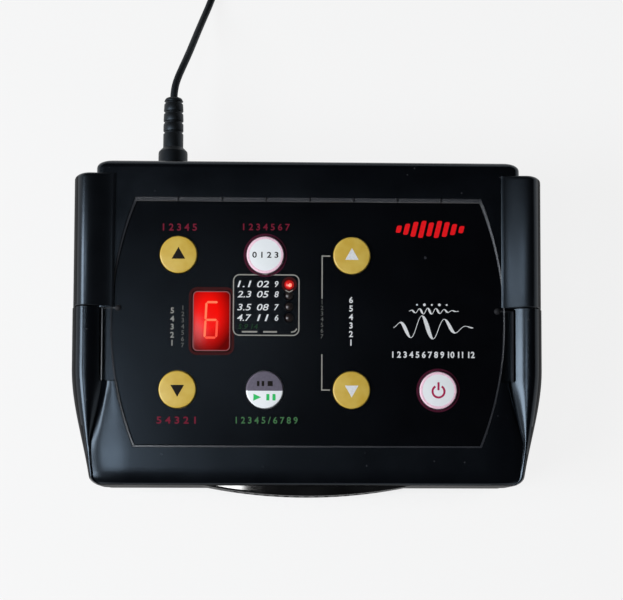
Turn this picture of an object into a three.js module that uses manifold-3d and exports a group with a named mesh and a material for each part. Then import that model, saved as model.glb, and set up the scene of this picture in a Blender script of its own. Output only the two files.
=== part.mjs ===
// Electronic shruti box: a desktop drone box with seven keys, a one-digit display and a supply lead.
// Millimetres, +Z up, +Y to the back. The origin lies on the table under the middle of the box.

import * as THREE from 'three';
import { mergeVertices } from 'three/addons/utils/BufferGeometryUtils.js';
import Module from 'manifold-3d';

const wasm = await Module();
wasm.setup();

// Case
const caseWidth = 154;
const caseDepth = 117;
const frontHeight = 40;
const backHeight = 49;
const partingHeight = 10;
const wall = 2.4;
const cornerRadius = 4;
const edgeRadius = 3;
const floorThickness = 2.5;
const trayEdge = 1.6;
const footHeight = 3;
const footRadius = 5;
const footInset = 12;
const footChamfer = 0.8;

// Clearances
const fitGap = 0.3;
const overrun = 8;
const rootDepth = 0.6;

// Side rails: the rear ones are covers, the front ones belong to the top shell
const rearRailProud = 8.4;
const frontRailProud = 8.65;
const railLap = 7;
const railBackSetback = 5.3;
const railSkin = 2.2;
const railSideDrop = 8;
const rearCrestIn = 5.1;
const rearCrestRise = 3;
const railFootRise = 0.7;
const railHollowAlongShare = 0.5;
const railHollowDownShare = 0.7;
const railHollowLengthShare = 0.48;
const frontCrestIn = 4.6;
const frontCrestRise = 1.8;
const frontCrestFall = 2.6;
const frontTaper = 7.2;
const railChamfer = 1.5;
const seamBack = 53.5;
const railEndRound = 1.6;
const lugWidth = 9;
const lugHeight = 3;
const lugLevel = 22;
const lugReach = 2;

// Valley between a front rail and the deck
const valleyInset = 2.4;
const valleyFrontProud = 1.8;
const valleyDepth = 2.2;
const valleyFrontDepth = 1;

// Keypad recess: a barrel outline with a deeper bay at each side
const recessEndInset = 14.4;
const recessBackLand = 14.7;
const recessFrontLand = 13.7;
const recessBulge = 8.6;
const recessShelf = 2;
const bayOuterInset = 1.8;
const bayBack = 53.5;
const bayLength = 26.6;
const bayDepth = 5.2;
const bayFloor = 2.2;

// Keypad plate
const plateDrop = 0.9;
const plateThickness = 1;
const plateGap = 0.5;

// Keys
const keyRadius = 6.7;
const keyColumnInset = 15.6;
const keyRowInset = 20.1;
const keyRowShift = 0.25;
const keyCrown = 1.5;
const keyShoulder = 0.5;
const keyFlange = 1.1;
const keyFlangeThickness = 1;
const keyStemRadius = 1.7;
const keyStemLength = 1.2;
const keyTravel = 0.5;
const switchHeight = 3.4;
const switchWidth = 6;
const switchDomeHeight = 0.8;
const switchDomeRadius = 1.6;

// Display and lamps
const windowWidth = 13.5;
const windowDepth = 21.6;
const windowShift = 3.6;
const windowY = 0.6;
const windowProud = 0.35;
const moduleMargin = 0.4;
const lampRadius = 1.5;
const lampShift = 8.7;
const lampBackY = 14;
const lampPitch = 4;
const lampTopDrop = 0.5;
const lampFlange = 0.35;
const lampFlangeThickness = 1;
const lampBodyHeight = 4.2;
const lampLegRadius = 0.9;

// Main board
const boardSideInset = 16;
const boardFrontInset = 26;
const boardBackInset = 15;
const boardThickness = 1.6;
const boardCorner = 2;
const boardHoleInset = 4;
const boardBossRadius = 3;
const boardScrewRadius = 1;
const boardScrewLength = 6;
const boardScrewHeadRadius = 2;
const boardScrewHeadHeight = 1.3;
const chipWidth = 24;
const chipDepth = 9;
const chipHeight = 2.4;
const capRadius = 4;
const capHeight = 9;

// Case screws
const caseScrewInset = 9;
const caseBossRadius = 4;
const caseScrewRadius = 1.35;
const caseScrewLength = 15;
const caseScrewHeadRadius = 2.8;
const caseScrewHeadHeight = 1.8;
const caseScrewSink = 4;
const caseBossBase = 15;
const crossWidth = 0.9;
const crossDepth = 0.9;

// Speaker and its bow-fronted cover
const bowWidth = 78;
const bowProud = 3.4;
const bowHeight = 23;
const bowLevel = 12;
const bowSkin = 1.4;
const bowEdge = 0.5;
const bowSlotCount = 15;
const bowSlotWidth = 1.8;
const bowSlotPitch = 3.7;
const bowSlotHeight = 13;
const speakerLevel = 23.5;
const speakerWidth = 70;
const speakerHeight = 24;
const speakerPlate = 1.2;
const gasketWidth = 4;
const gasketThickness = 1;
const basketDepth = 7;
const basketInset = 4.4;
const magnetRadius = 10;
const magnetDepth = 7;
const coneInset = 6.4;
const coneDepth = 4;
const coneThickness = 0.9;
const coneHub = 7;

// Battery bay and its sliding door
const batteryLength = 48.5;
const batteryDepth = 26.5;
const batteryHeight = 17.5;
const batteryX = 17;
const batteryBack = 22;
const snapThickness = 4.5;
const bayRib = 1.6;
const bayRibHeight = 13;
const doorMargin = 0.6;
const doorFlange = 2;
const doorFlangeThickness = 1;
const doorGripCount = 4;
const doorGripWidth = 1;
const doorGripPitch = 2.2;
const doorGripDepth = 0.6;
const doorGripInset = 4;

// Supply socket and plug
const plugInset = 26.3;
const plugLevel = 24;
const barrelRadius = 2.75;
const barrelBore = 1.25;
const barrelLength = 9.5;
const socketPinRadius = 0.8;
const socketSize = 11;
const socketLength = 14;
const socketRib = 1.6;
const plugCollarRadius = 5.5;
const plugCollarLength = 9.9;
const plugCollarSlope = 1.6;
const reliefRadius = 3.8;
const reliefEndRadius = 3.4;
const reliefLength = 19.4;
const reliefGroove = 0.5;
const reliefGrooveCount = 4;
const reliefGrooveWidth = 1.2;

// Supply cord, its coil and the wall adapter
const cordRadius = 1.4;
const cordSideCount = 8;
const cordStepCount = 26;
const coilGap = 0.5;
const coilMeanRadius = 15.5;
const coilTurnCount = 14.25;
const coilLayerCount = 4;
const coilStepCount = 24;
const coilSideCount = 6;
const coilCentre = [-12, 168];
const coilLeadIn = 5;
const coilLeadOut = 22;
const tieThickness = 0.8;
const tieWidth = 4;
const tableGap = 0.05;
const adapterLength = 56;
const adapterDepth = 40;
const adapterHeight = 28;
const adapterCorner = 5;
const adapterEdge = 1.6;
const adapterRelief = 12;
const adapterReliefRadius = 3.2;
const adapterReliefEndRadius = 2.2;
const pinRadius = 2;
const pinLength = 19;
const pinPitch = 19;

// Derived places
const gridPitch = coilGap + 2 * cordRadius;
const frontY = bowProud - (caseDepth + bowProud) / 2;
const backY = frontY + caseDepth;
const halfWidth = caseWidth / 2;
const rise = (backHeight - frontHeight) / caseDepth;
const slope = Math.atan(rise);
const seamY = backY - seamBack;
const recessHalfDepth = (caseDepth - recessFrontLand - recessBackLand) / 2 / Math.cos(slope);
const recessEndHalf = halfWidth - recessEndInset;
const plugX = plugInset - halfWidth;
const keyColumnPitch = (recessEndHalf - keyColumnInset) / 1.5;
const keyRowPitch = 2 * (recessHalfDepth - keyRowInset);
const windowX = -keyColumnPitch - windowShift;
const lampX = lampShift - keyColumnPitch / 2;
const recessY = (frontY + recessFrontLand + backY - recessBackLand) / 2;
const bayOuterX = halfWidth - bayOuterInset;
const boardWidth = caseWidth - 2 * boardSideInset;
const boardDepth = (caseDepth - boardFrontInset - boardBackInset) / Math.cos(slope);
const boardShift = (frontY + boardFrontInset + backY - boardBackInset) / 2 - recessY;
const recessDepth = plateDrop + plateThickness + fitGap;
const shelfLow = recessDepth + recessShelf;
const keyFlangeTop = shelfLow + fitGap;
const keyStemEnd = keyFlangeTop + keyFlangeThickness + keyStemLength;
const switchTop = keyStemEnd + keyTravel + fitGap / 3;
const switchBase = switchTop + switchDomeHeight + switchHeight;
const boardTop = switchBase + fitGap;
const boardLow = boardTop + boardThickness;
const trayTop = footHeight + floorThickness;
const deckHeightAt = (y) => frontHeight + rise * (y - frontY);

// The deck frame lies in the sloping top face, with its origin over the middle of the recess
const deckMatrix = new THREE.Matrix4()
  .makeTranslation(0, recessY, deckHeightAt(recessY))
  .multiply(new THREE.Matrix4().makeRotationX(slope));

const roundSideCount = 18;
const smallSideCount = 10;
const quarterStepCount = 4;

// Finishes
const finishes = {
  shell: { color: 0x101113, roughness: 0.5, metalness: 0 },
  rail: { color: 0x0c0d10, roughness: 0.32, metalness: 0 },
  gloss: { color: 0x08090a, roughness: 0.12, metalness: 0 },
  plate: { color: 0x0b0b0d, roughness: 0.4, metalness: 0 },
  gold: { color: 0xc8a33c, roughness: 0.35, metalness: 0.2 },
  white: { color: 0xe9e6ea, roughness: 0.4, metalness: 0 },
  window: { color: 0xd8150c, roughness: 0.15, metalness: 0 },
  lamp: { color: 0xe02214, roughness: 0.2, metalness: 0 },
  board: { color: 0x1d5a34, roughness: 0.5, metalness: 0 },
  chip: { color: 0x18181a, roughness: 0.55, metalness: 0 },
  steel: { color: 0xa9abae, roughness: 0.35, metalness: 1 },
  magnet: { color: 0x3a3b3d, roughness: 0.6, metalness: 0.4 },
  paper: { color: 0x1d1c1b, roughness: 0.9, metalness: 0 },
  foam: { color: 0x222222, roughness: 0.95, metalness: 0 },
  battery: { color: 0x2a4a7c, roughness: 0.4, metalness: 0.3 },
  rubber: { color: 0x141414, roughness: 0.85, metalness: 0 },
  cord: { color: 0x121212, roughness: 0.6, metalness: 0 },
  brass: { color: 0xb99a55, roughness: 0.3, metalness: 1 },
  lead: { color: 0x8c1f1b, roughness: 0.6, metalness: 0 },
};

// Solids: a closed geometry becomes a solid that can be joined and cut
function solid(geometry) {
  const bare = geometry.clone();
  bare.deleteAttribute('normal');
  bare.deleteAttribute('uv');
  const merged = mergeVertices(bare);
  const index = merged.index.array;
  const triangles = [];
  for (let i = 0; i < index.length; i += 3) {
    const [a, b, c] = [index[i], index[i + 1], index[i + 2]];
    if (a !== b && b !== c && c !== a) {
      triangles.push(a, b, c);
    }
  }
  return new wasm.Manifold(new wasm.Mesh({
    numProp: 3,
    vertProperties: Float32Array.from(merged.attributes.position.array),
    triVerts: Uint32Array.from(triangles),
  }));
}

function surface(body) {
  const mesh = body.getMesh();
  const geometry = new THREE.BufferGeometry();
  geometry.setAttribute('position', new THREE.BufferAttribute(mesh.vertProperties, 3));
  geometry.setIndex(new THREE.BufferAttribute(mesh.triVerts, 1));
  geometry.computeVertexNormals();
  return geometry;
}

const joined = (first, ...others) => others.reduce((sum, body) => sum.add(body), first);
const cut = (body, ...tools) => tools.reduce((rest, tool) => rest.subtract(tool), body);

// Outlines
function roundedRectangle(width, depth, radius) {
  const x = width / 2 - radius;
  const y = depth / 2 - radius;
  const shape = new THREE.Shape();
  shape.absarc(x, y, radius, 0, Math.PI / 2, false);
  shape.absarc(-x, y, radius, Math.PI / 2, Math.PI, false);
  shape.absarc(-x, -y, radius, Math.PI, Math.PI * 1.5, false);
  shape.absarc(x, -y, radius, Math.PI * 1.5, Math.PI * 2, false);
  return shape;
}

function barrelOutline(inset) {
  const half = recessHalfDepth - inset;
  const end = recessEndHalf - inset;
  const arcRadius = (half * half + recessBulge * recessBulge) / (2 * recessBulge);
  const centre = end + recessBulge - arcRadius;
  const angle = Math.asin(half / arcRadius);
  const shape = new THREE.Shape();
  shape.absarc(centre, 0, arcRadius, -angle, angle, false);
  shape.absarc(-centre, 0, arcRadius, Math.PI - angle, Math.PI + angle, false);
  return shape;
}

// Primitive pieces
function prism(shape, low, high, segments = quarterStepCount) {
  const options = { depth: high - low, bevelEnabled: false, curveSegments: segments };
  return new THREE.ExtrudeGeometry(shape, options).translate(0, 0, low);
}

function block(xLow, xHigh, yLow, yHigh, zLow, zHigh) {
  return new THREE.BoxGeometry(xHigh - xLow, yHigh - yLow, zHigh - zLow)
    .translate((xLow + xHigh) / 2, (yLow + yHigh) / 2, (zLow + zHigh) / 2);
}

function rod(radius, low, high, x = 0, y = 0, segments = smallSideCount) {
  return new THREE.CylinderGeometry(radius, radius, high - low, segments)
    .rotateX(Math.PI / 2)
    .translate(x, y, (low + high) / 2);
}

// A profile of [radius, height] points turned about Z
function turned(profile, segments = smallSideCount) {
  const points = profile.map(([radius, height]) => new THREE.Vector2(radius, height));
  return new THREE.LatheGeometry(points, segments).rotateX(Math.PI / 2);
}

// A stack of closed sections of equal count, capped at both ends
function loft(sections) {
  const count = sections[0].length;
  const positions = sections.flat().flatMap((point) => point.toArray());
  const index = [];
  for (let i = 0; i + 1 < sections.length; i += 1) {
    for (let j = 0; j < count; j += 1) {
      const a = i * count + j;
      const b = i * count + (j + 1) % count;
      index.push(a, b, b + count, a, b + count, a + count);
    }
  }
  const contour = sections[0].map((point) => new THREE.Vector2(point.x, point.z));
  const wound = Math.sign(THREE.ShapeUtils.area(contour));
  const last = (sections.length - 1) * count;
  for (const [a, b, c] of THREE.ShapeUtils.triangulateShape(contour, [])) {
    const turn = Math.sign(THREE.ShapeUtils.area([contour[a], contour[b], contour[c]]));
    const [p, q] = turn === wound ? [b, c] : [c, b];
    index.push(a, q, p, last + a, last + p, last + q);
  }
  const geometry = new THREE.BufferGeometry();
  geometry.setAttribute('position', new THREE.Float32BufferAttribute(positions, 3));
  geometry.setIndex(index);
  geometry.computeVertexNormals();
  return geometry;
}

// A round tube along a curve, with flat ends
function tube(points, radius, sides, stepCount) {
  const section = new THREE.Shape();
  for (let i = 0; i < sides; i += 1) {
    const angle = (i / sides) * Math.PI * 2;
    const place = [radius * Math.cos(angle), radius * Math.sin(angle)];
    if (i === 0) {
      section.moveTo(...place);
    } else {
      section.lineTo(...place);
    }
  }
  const path = new THREE.CatmullRomCurve3(points.map((point) => new THREE.Vector3(...point)));
  return new THREE.ExtrudeGeometry(section, { steps: stepCount, bevelEnabled: false, extrudePath: path });
}

const inDeck = (geometry) => geometry.applyMatrix4(deckMatrix);
const mirrored = (make) => [1, -1].map((side) => make(side));

// Everything below a plane that lies this deep under the deck
function underDeck(depth) {
  const size = caseWidth + caseDepth;
  return solid(inDeck(block(-size, size, -size, size, -size, -depth)));
}

// Assembly
const group = new THREE.Group();
const deck = new THREE.Group();
deck.applyMatrix4(deckMatrix);
group.add(deck);

function addMesh(parent, name, shape, finish) {
  const geometry = shape.isBufferGeometry ? shape : surface(shape);
  const mesh = new THREE.Mesh(geometry, new THREE.MeshStandardMaterial(finish));
  mesh.name = name;
  parent.add(mesh);
  return mesh;
}

// Places of what shows in the keypad plate, in the deck frame
const keyPlaces = [
  { name: 'pitch_up', column: -1.5, row: 0.5, finish: finishes.gold },
  { name: 'mode', column: -0.5, row: 0.5, finish: finishes.white },
  { name: 'volume_up', column: 0.5, row: 0.5, finish: finishes.gold },
  { name: 'pitch_down', column: -1.5, row: -0.5, finish: finishes.gold },
  { name: 'start_stop', column: -0.5, row: -0.5, finish: finishes.white },
  { name: 'volume_down', column: 0.5, row: -0.5, finish: finishes.gold },
  { name: 'power', column: 1.5, row: -0.5, finish: finishes.white },
].map((key) => ({
  ...key,
  x: key.column * keyColumnPitch,
  y: keyRowShift + key.row * keyRowPitch,
}));
const lampPlaces = [0, 1, 2, 3].map((i) => ({ x: lampX, y: lampBackY - i * lampPitch }));

// Openings for keys, window and lamps through the plate and the shelf under it
function faceOpenings() {
  const low = -shelfLow - overrun;
  const high = overrun;
  const keyHoles = keyPlaces.map(({ x, y }) => rod(keyRadius + fitGap, low, high, x, y, roundSideCount));
  const lampHoles = lampPlaces.map(({ x, y }) => rod(lampRadius + fitGap, low, high, x, y));
  const windowHole = block(
    windowX - windowWidth / 2 - fitGap, windowX + windowWidth / 2 + fitGap,
    windowY - windowDepth / 2 - fitGap, windowY + windowDepth / 2 + fitGap, low, high,
  );
  return [...keyHoles, ...lampHoles, windowHole];
}

// Places of screws, bosses and feet
const boardHoles = [1, -1].flatMap((sx) => [1, -1].map((sy) => ({
  x: sx * (boardWidth / 2 - boardHoleInset),
  y: boardShift + sy * (boardDepth / 2 - boardHoleInset),
})));
const caseScrews = [1, -1].flatMap((sx) => [frontY, backY].map((edge) => ({
  x: sx * (halfWidth - caseScrewInset),
  y: edge - Math.sign(edge) * caseScrewInset,
})));
const feet = [1, -1].flatMap((sx) => [frontY, backY].map((edge) => ({
  x: sx * (halfWidth - 2 * footInset),
  y: edge - Math.sign(edge) * footInset,
})));

// Top shell: the part behind the seam is a plain box with rounded edges
function rearSection(y, sideInset, topInset) {
  const outer = halfWidth - sideInset;
  const top = deckHeightAt(y) - topInset;
  const half = [[outer, partingHeight]];
  for (let i = 0; i <= quarterStepCount; i += 1) {
    const angle = (i / quarterStepCount) * Math.PI / 2;
    half.push([
      outer - edgeRadius * (1 - Math.cos(angle)),
      top - edgeRadius * (1 - Math.sin(angle)),
    ]);
  }
  return mirrorSection(half, y);
}

function mirrorSection(half, y) {
  const right = half.map(([x, z]) => new THREE.Vector3(x, y, z));
  const left = half.map(([x, z]) => new THREE.Vector3(-x, y, z)).reverse();
  return [...right, ...left];
}

function endStations(edge, inward, radius) {
  const stations = [];
  for (let i = 0; i <= quarterStepCount; i += 1) {
    const angle = (i / quarterStepCount) * Math.PI / 2;
    stations.push({ y: edge + inward * radius * (1 - Math.sin(angle)), share: 1 - Math.cos(angle) });
  }
  return stations;
}

function rearBlock() {
  const sections = [rearSection(seamY, 0, 0)];
  for (const { y, share } of endStations(backY, -1, edgeRadius)) {
    sections.push(rearSection(y, cornerRadius * share, edgeRadius * share));
  }
  return loft(sections.reverse());
}

// The part in front of the seam carries the tapering rails with a valley inside each
const taperStartShare = 0.34;
const taperBendShare = 1.2;
const valleyStartShare = 0.42;
const valleyEndShare = 0.83;
const crestNarrowShare = 0.74;
const tongueLandShare = 0.1;

function frontSection(y, sideInset, topInset) {
  const along = (seamY - y) / (seamY - frontY);
  const taper = Math.max(0, (along - taperStartShare) / (1 - taperStartShare));
  const bend = taper * taper * (1 + taperBendShare - taperBendShare * taper);
  const fall = THREE.MathUtils.smoothstep(along, valleyStartShare, 1);
  const close = THREE.MathUtils.clamp(
    (along - valleyStartShare) / (valleyEndShare - valleyStartShare), 0, 1,
  );
  const outer = halfWidth + frontRailProud - frontTaper * bend - sideInset;
  const crest = outer - frontCrestIn * (1 - crestNarrowShare * fall);
  const crestTop = frontCrestRise - frontCrestFall * fall;
  const valley = Math.min(THREE.MathUtils.lerp(halfWidth - valleyInset, halfWidth + valleyFrontProud, close), crest - railChamfer / 2);
  const valleyLow = THREE.MathUtils.lerp(valleyDepth, valleyFrontDepth, close);
  const reach = Math.min(1, Math.abs(y - recessY) / recessHalfDepth);
  const tongue = recessEndHalf + recessBulge * (1 - reach * reach) + recessBulge * tongueLandShare;
  const top = deckHeightAt(y) - topInset;
  const half = [
    [outer - railChamfer, partingHeight],
    [outer, partingHeight + railChamfer],
  ];
  for (let i = 0; i <= quarterStepCount; i += 1) {
    const angle = (i / quarterStepCount) * Math.PI / 2;
    half.push([
      crest + (outer - crest) * Math.cos(angle),
      top - railSideDrop + (railSideDrop + crestTop) * Math.sin(angle),
    ]);
  }
  half.push([valley, top - valleyLow]);
  half.push([Math.min(tongue, valley - railChamfer), top]);
  return mirrorSection(half, y);
}

function frontBlock() {
  const lengthStepCount = 12;
  const endY = frontY + edgeRadius;
  const sections = [];
  for (let i = 0; i < lengthStepCount; i += 1) {
    sections.push(frontSection(THREE.MathUtils.lerp(seamY, endY, i / lengthStepCount), 0, 0));
  }
  for (const { y, share } of endStations(frontY, 1, edgeRadius)) {
    sections.push(frontSection(y, cornerRadius * share, edgeRadius * share));
  }
  return loft(sections);
}

const bayLow = bayBack + bayLength;
const bayBackY = backY - bayBack;
const bayFrontY = backY - bayLow;

// Lugs of the rear rails pass through slots in the side walls
const rearRailLength = backY - railBackSetback - seamY;
const lugPlaces = [0.25, 0.75].map((share) => seamY + share * rearRailLength);

function topShell() {
  const shell = joined(solid(rearBlock()), solid(frontBlock()));
  const inside = roundedRectangle(caseWidth - 2 * wall, caseDepth - 2 * wall, cornerRadius - wall / 2);
  const middle = (frontY + backY) / 2;
  const hollow = solid(prism(inside, partingHeight - overrun, backHeight + overrun).translate(0, middle, 0))
    .intersect(underDeck(shelfLow));
  const railHollows = mirrored((side) => solid(block(
    side * (halfWidth + frontRailProud / 2) - frontRailProud / 2 + railSkin,
    side * (halfWidth + frontRailProud / 2) + frontRailProud / 2 - railSkin,
    seamY - (seamY - frontY) * railHollowLengthShare, seamY - railSkin,
    partingHeight - overrun, backHeight,
  )).intersect(underDeck(railSideDrop)));
  const liners = mirrored((side) => solid(inDeck(block(
    side * (recessEndHalf + recessBulge + halfWidth) / 2 - (halfWidth - recessEndHalf) / 2 + rootDepth,
    side * (recessEndHalf + recessBulge + halfWidth) / 2 + (halfWidth - recessEndHalf) / 2 - rootDepth,
    bayFrontY - recessY - bayFloor, bayBackY - recessY + bayFloor,
    -bayDepth - bayFloor, -recessDepth - rootDepth,
  ))).intersect(solid(prism(
    roundedRectangle(caseWidth - rootDepth, caseDepth - rootDepth, cornerRadius),
    0, backHeight,
  ).translate(0, middle, 0))));
  const boardBosses = boardHoles.map(({ x, y }) => solid(inDeck(
    rod(boardBossRadius, -boardTop + fitGap, -shelfLow + rootDepth, x, y),
  )));
  const caseBosses = caseScrews.map(({ x, y }) => solid(
    rod(caseBossRadius, caseBossBase + fitGap, deckHeightAt(y) - shelfLow + rootDepth, x, y),
  ));
  const socketRibs = mirrored((side) => solid(block(
    plugX + side * (socketSize / 2 + fitGap + socketRib / 2) - socketRib / 2,
    plugX + side * (socketSize / 2 + fitGap + socketRib / 2) + socketRib / 2,
    backY - wall - socketLength * 0.8, backY - wall + rootDepth,
    plugLevel - socketSize / 2, plugLevel + socketSize / 2,
  )));
  const whole = joined(
    cut(shell, hollow, ...railHollows), ...liners, ...boardBosses, ...caseBosses, ...socketRibs,
  );
  const recess = solid(inDeck(prism(barrelOutline(0), -recessDepth, overrun, roundSideCount)));
  const keep = solid(inDeck(prism(barrelOutline(plateGap), -shelfLow - overrun, overrun, roundSideCount)));
  const bays = mirrored((side) => cut(solid(inDeck(block(
    Math.min(side * recessEndHalf, side * bayOuterX), Math.max(side * recessEndHalf, side * bayOuterX),
    bayFrontY - recessY, bayBackY - recessY, -bayDepth, overrun,
  ))), keep));
  const openings = faceOpenings().map((tool) => solid(inDeck(tool)));
  const boardPilots = boardHoles.map(({ x, y }) => solid(inDeck(
    rod(boardScrewRadius + fitGap, -boardTop - overrun, -shelfLow - rootDepth, x, y),
  )));
  const casePilots = caseScrews.map(({ x, y }) => solid(
    rod(caseScrewRadius + fitGap, 0, caseScrewHeadTop + caseScrewLength + fitGap, x, y),
  ));
  const lugSlots = lugPlaces.flatMap((y) => mirrored((side) => solid(block(
    side * (halfWidth - wall / 2) - wall, side * (halfWidth - wall / 2) + wall,
    y - lugWidth / 2 - fitGap, y + lugWidth / 2 + fitGap,
    lugLevel - fitGap, lugLevel + lugHeight + fitGap,
  ))));
  const plugHole = solid(rod(barrelRadius + fitGap, -overrun, overrun)
    .rotateX(Math.PI / 2).translate(plugX, backY - wall / 2, plugLevel));
  const soundWindow = solid(prism(
    roundedRectangle(speakerWidth - 2 * coneInset, speakerHeight - 2 * gasketWidth, gasketWidth),
    -overrun / 2, overrun / 2,
  ).rotateX(Math.PI / 2).translate(0, frontY + wall / 2, speakerLevel));
  return cut(
    whole, recess, ...bays, ...openings, ...boardPilots, ...casePilots, ...lugSlots, plugHole, soundWindow,
  );
}

// Rear rails: hollow covers that lap over the deck edge and hook into the side wall
function rearRailSection(y, sideInset, topInset) {
  const inner = halfWidth + fitGap;
  const outer = halfWidth + rearRailProud - sideInset;
  const crest = outer - rearCrestIn;
  const top = deckHeightAt(y) - topInset;
  const seat = deckHeightAt(y) + fitGap;
  const points = [[inner, partingHeight + railSkin]];
  points.push([inner, partingHeight]);
  points.push([outer - railChamfer, partingHeight]);
  points.push([outer, partingHeight + railChamfer]);
  for (let i = 0; i <= quarterStepCount; i += 1) {
    const angle = (i / quarterStepCount) * Math.PI / 2;
    points.push([
      crest + (outer - crest) * Math.cos(angle),
      top - railSideDrop + (railSideDrop + rearCrestRise) * Math.sin(angle),
    ]);
  }
  const hollowTop = THREE.MathUtils.lerp(top + rearCrestRise, top + railFootRise, railHollowDownShare);
  points.push([
    THREE.MathUtils.lerp(crest, halfWidth - railLap, railHollowAlongShare),
    Math.max(seat + railFootRise, hollowTop),
  ]);
  points.push([halfWidth - railLap, Math.max(seat + railFootRise / 2, top + railFootRise)]);
  points.push([halfWidth - railLap, seat]);
  points.push([inner, seat]);
  points.push([inner, deckHeightAt(y) - railSkin]);
  points.push([outer - railSkin, deckHeightAt(y) - railSkin - railSideDrop / 2]);
  points.push([outer - railSkin, partingHeight + railSkin]);
  return points.map(([x, z]) => new THREE.Vector3(x, y, z));
}

function rearRail(side) {
  const sections = [rearRailSection(seamY + fitGap, 0, 0)];
  for (const { y, share } of endStations(backY - railBackSetback, -1, railEndRound)) {
    sections.push(rearRailSection(y, railEndRound * share, railEndRound * share));
  }
  const skin = solid(loft(sections.reverse()));
  const lugs = lugPlaces.map((y) => solid(block(
    halfWidth - lugReach, halfWidth + rearRailProud - railSkin + rootDepth / 2,
    y - lugWidth / 2, y + lugWidth / 2, lugLevel, lugLevel + lugHeight,
  )));
  const rail = joined(skin, ...lugs);
  return side > 0 ? rail : rail.mirror([1, 0, 0]);
}

// Keypad plate: a thin barrel-shaped sheet with holes
function keypadPlate() {
  const sheet = solid(prism(barrelOutline(plateGap), -plateDrop - plateThickness, -plateDrop, roundSideCount));
  return cut(sheet, ...faceOpenings().map(solid));
}

// Key: a domed cap, a flange that keeps it in and a stem over its switch
function keyCap() {
  const shoulder = -plateDrop + keyCrown - keyShoulder * 2;
  const profile = [
    [0, -keyStemEnd],
    [keyStemRadius, -keyStemEnd],
    [keyStemRadius, -keyFlangeTop - keyFlangeThickness],
    [keyRadius + keyFlange, -keyFlangeTop - keyFlangeThickness],
    [keyRadius + keyFlange, -keyFlangeTop],
    [keyRadius, -keyFlangeTop],
    [keyRadius, shoulder],
    [keyRadius - keyShoulder, shoulder + keyShoulder],
    [keyRadius / 2, shoulder + keyShoulder * 1.8],
    [0, shoulder + keyShoulder * 2],
  ];
  return turned(profile, roundSideCount);
}

function tactSwitch() {
  const base = solid(block(
    -switchWidth / 2, switchWidth / 2, -switchWidth / 2, switchWidth / 2,
    -switchBase, -switchBase + switchHeight,
  ));
  return joined(base, solid(rod(switchDomeRadius, -switchBase + switchHeight - rootDepth, -switchTop)));
}

// Display: a lens in the plate's hole and the digit module on the board under it
function displayLens() {
  const top = windowProud - plateDrop;
  return prism(roundedRectangle(windowWidth, windowDepth, plateThickness), -shelfLow, top);
}

function displayModule() {
  const half = [windowWidth / 2 - moduleMargin, windowDepth / 2 - moduleMargin];
  return block(
    windowX - half[0], windowX + half[0], windowY - half[1], windowY + half[1],
    -boardTop + fitGap, -shelfLow - fitGap,
  );
}

function lamp() {
  const top = -lampTopDrop;
  const base = top - lampBodyHeight;
  return turned([
    [0, -boardTop + fitGap],
    [lampLegRadius, -boardTop + fitGap],
    [lampLegRadius, base - lampFlangeThickness],
    [lampRadius + lampFlange, base - lampFlangeThickness],
    [lampRadius + lampFlange, base],
    [lampRadius, base],
    [lampRadius, top - lampRadius * 0.8],
    [lampRadius * 0.6, top - lampRadius * 0.2],
    [0, top],
  ], smallSideCount);
}

// Main board with its large capacitors standing on the underside
function mainBoard() {
  const sheet = solid(prism(
    roundedRectangle(boardWidth, boardDepth, boardCorner), -boardLow, -boardTop,
  ).translate(0, boardShift, 0));
  const caps = [-0.3, 0.12].map((share) => solid(
    rod(capRadius, -boardLow - capHeight, -boardLow + rootDepth, share * boardWidth, boardShift),
  ));
  const holes = boardHoles.map(({ x, y }) => solid(
    rod(boardScrewRadius + fitGap, -boardLow - overrun, -boardTop + overrun, x, y),
  ));
  return cut(joined(sheet, ...caps), ...holes);
}

function soundChip() {
  return block(
    -chipWidth / 2, chipWidth / 2, boardShift - boardDepth / 3 - chipDepth / 2,
    boardShift - boardDepth / 3 + chipDepth / 2,
    -boardLow - fitGap - chipHeight, -boardLow - fitGap,
  );
}

// A pan-head screw along Z with its head underneath and a cross recess
function screw(radius, length, headRadius, headHeight) {
  const body = solid(turned([
    [0, -headHeight],
    [headRadius * 0.7, -headHeight],
    [headRadius, -headHeight / 2],
    [headRadius, 0],
    [radius, 0],
    [radius, length],
    [0, length],
  ]));
  const arms = [0, Math.PI / 2].map((angle) => solid(block(
    -headRadius * 0.6, headRadius * 0.6, -crossWidth / 2, crossWidth / 2,
    -headHeight - overrun, -headHeight + crossDepth * 0.8,
  ).rotateZ(angle)));
  return cut(body, ...arms);
}

// Bottom tray with the battery bay
const doorHalf = (batteryLength + snapThickness) / 2 + doorMargin;
const doorX = batteryX + snapThickness / 2;
const doorFrontY = backY - batteryBack - batteryDepth / 2 - doorMargin;
const doorTop = trayTop + fitGap + doorFlangeThickness;
const caseScrewHeadTop = footHeight + caseScrewSink - fitGap;

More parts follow.
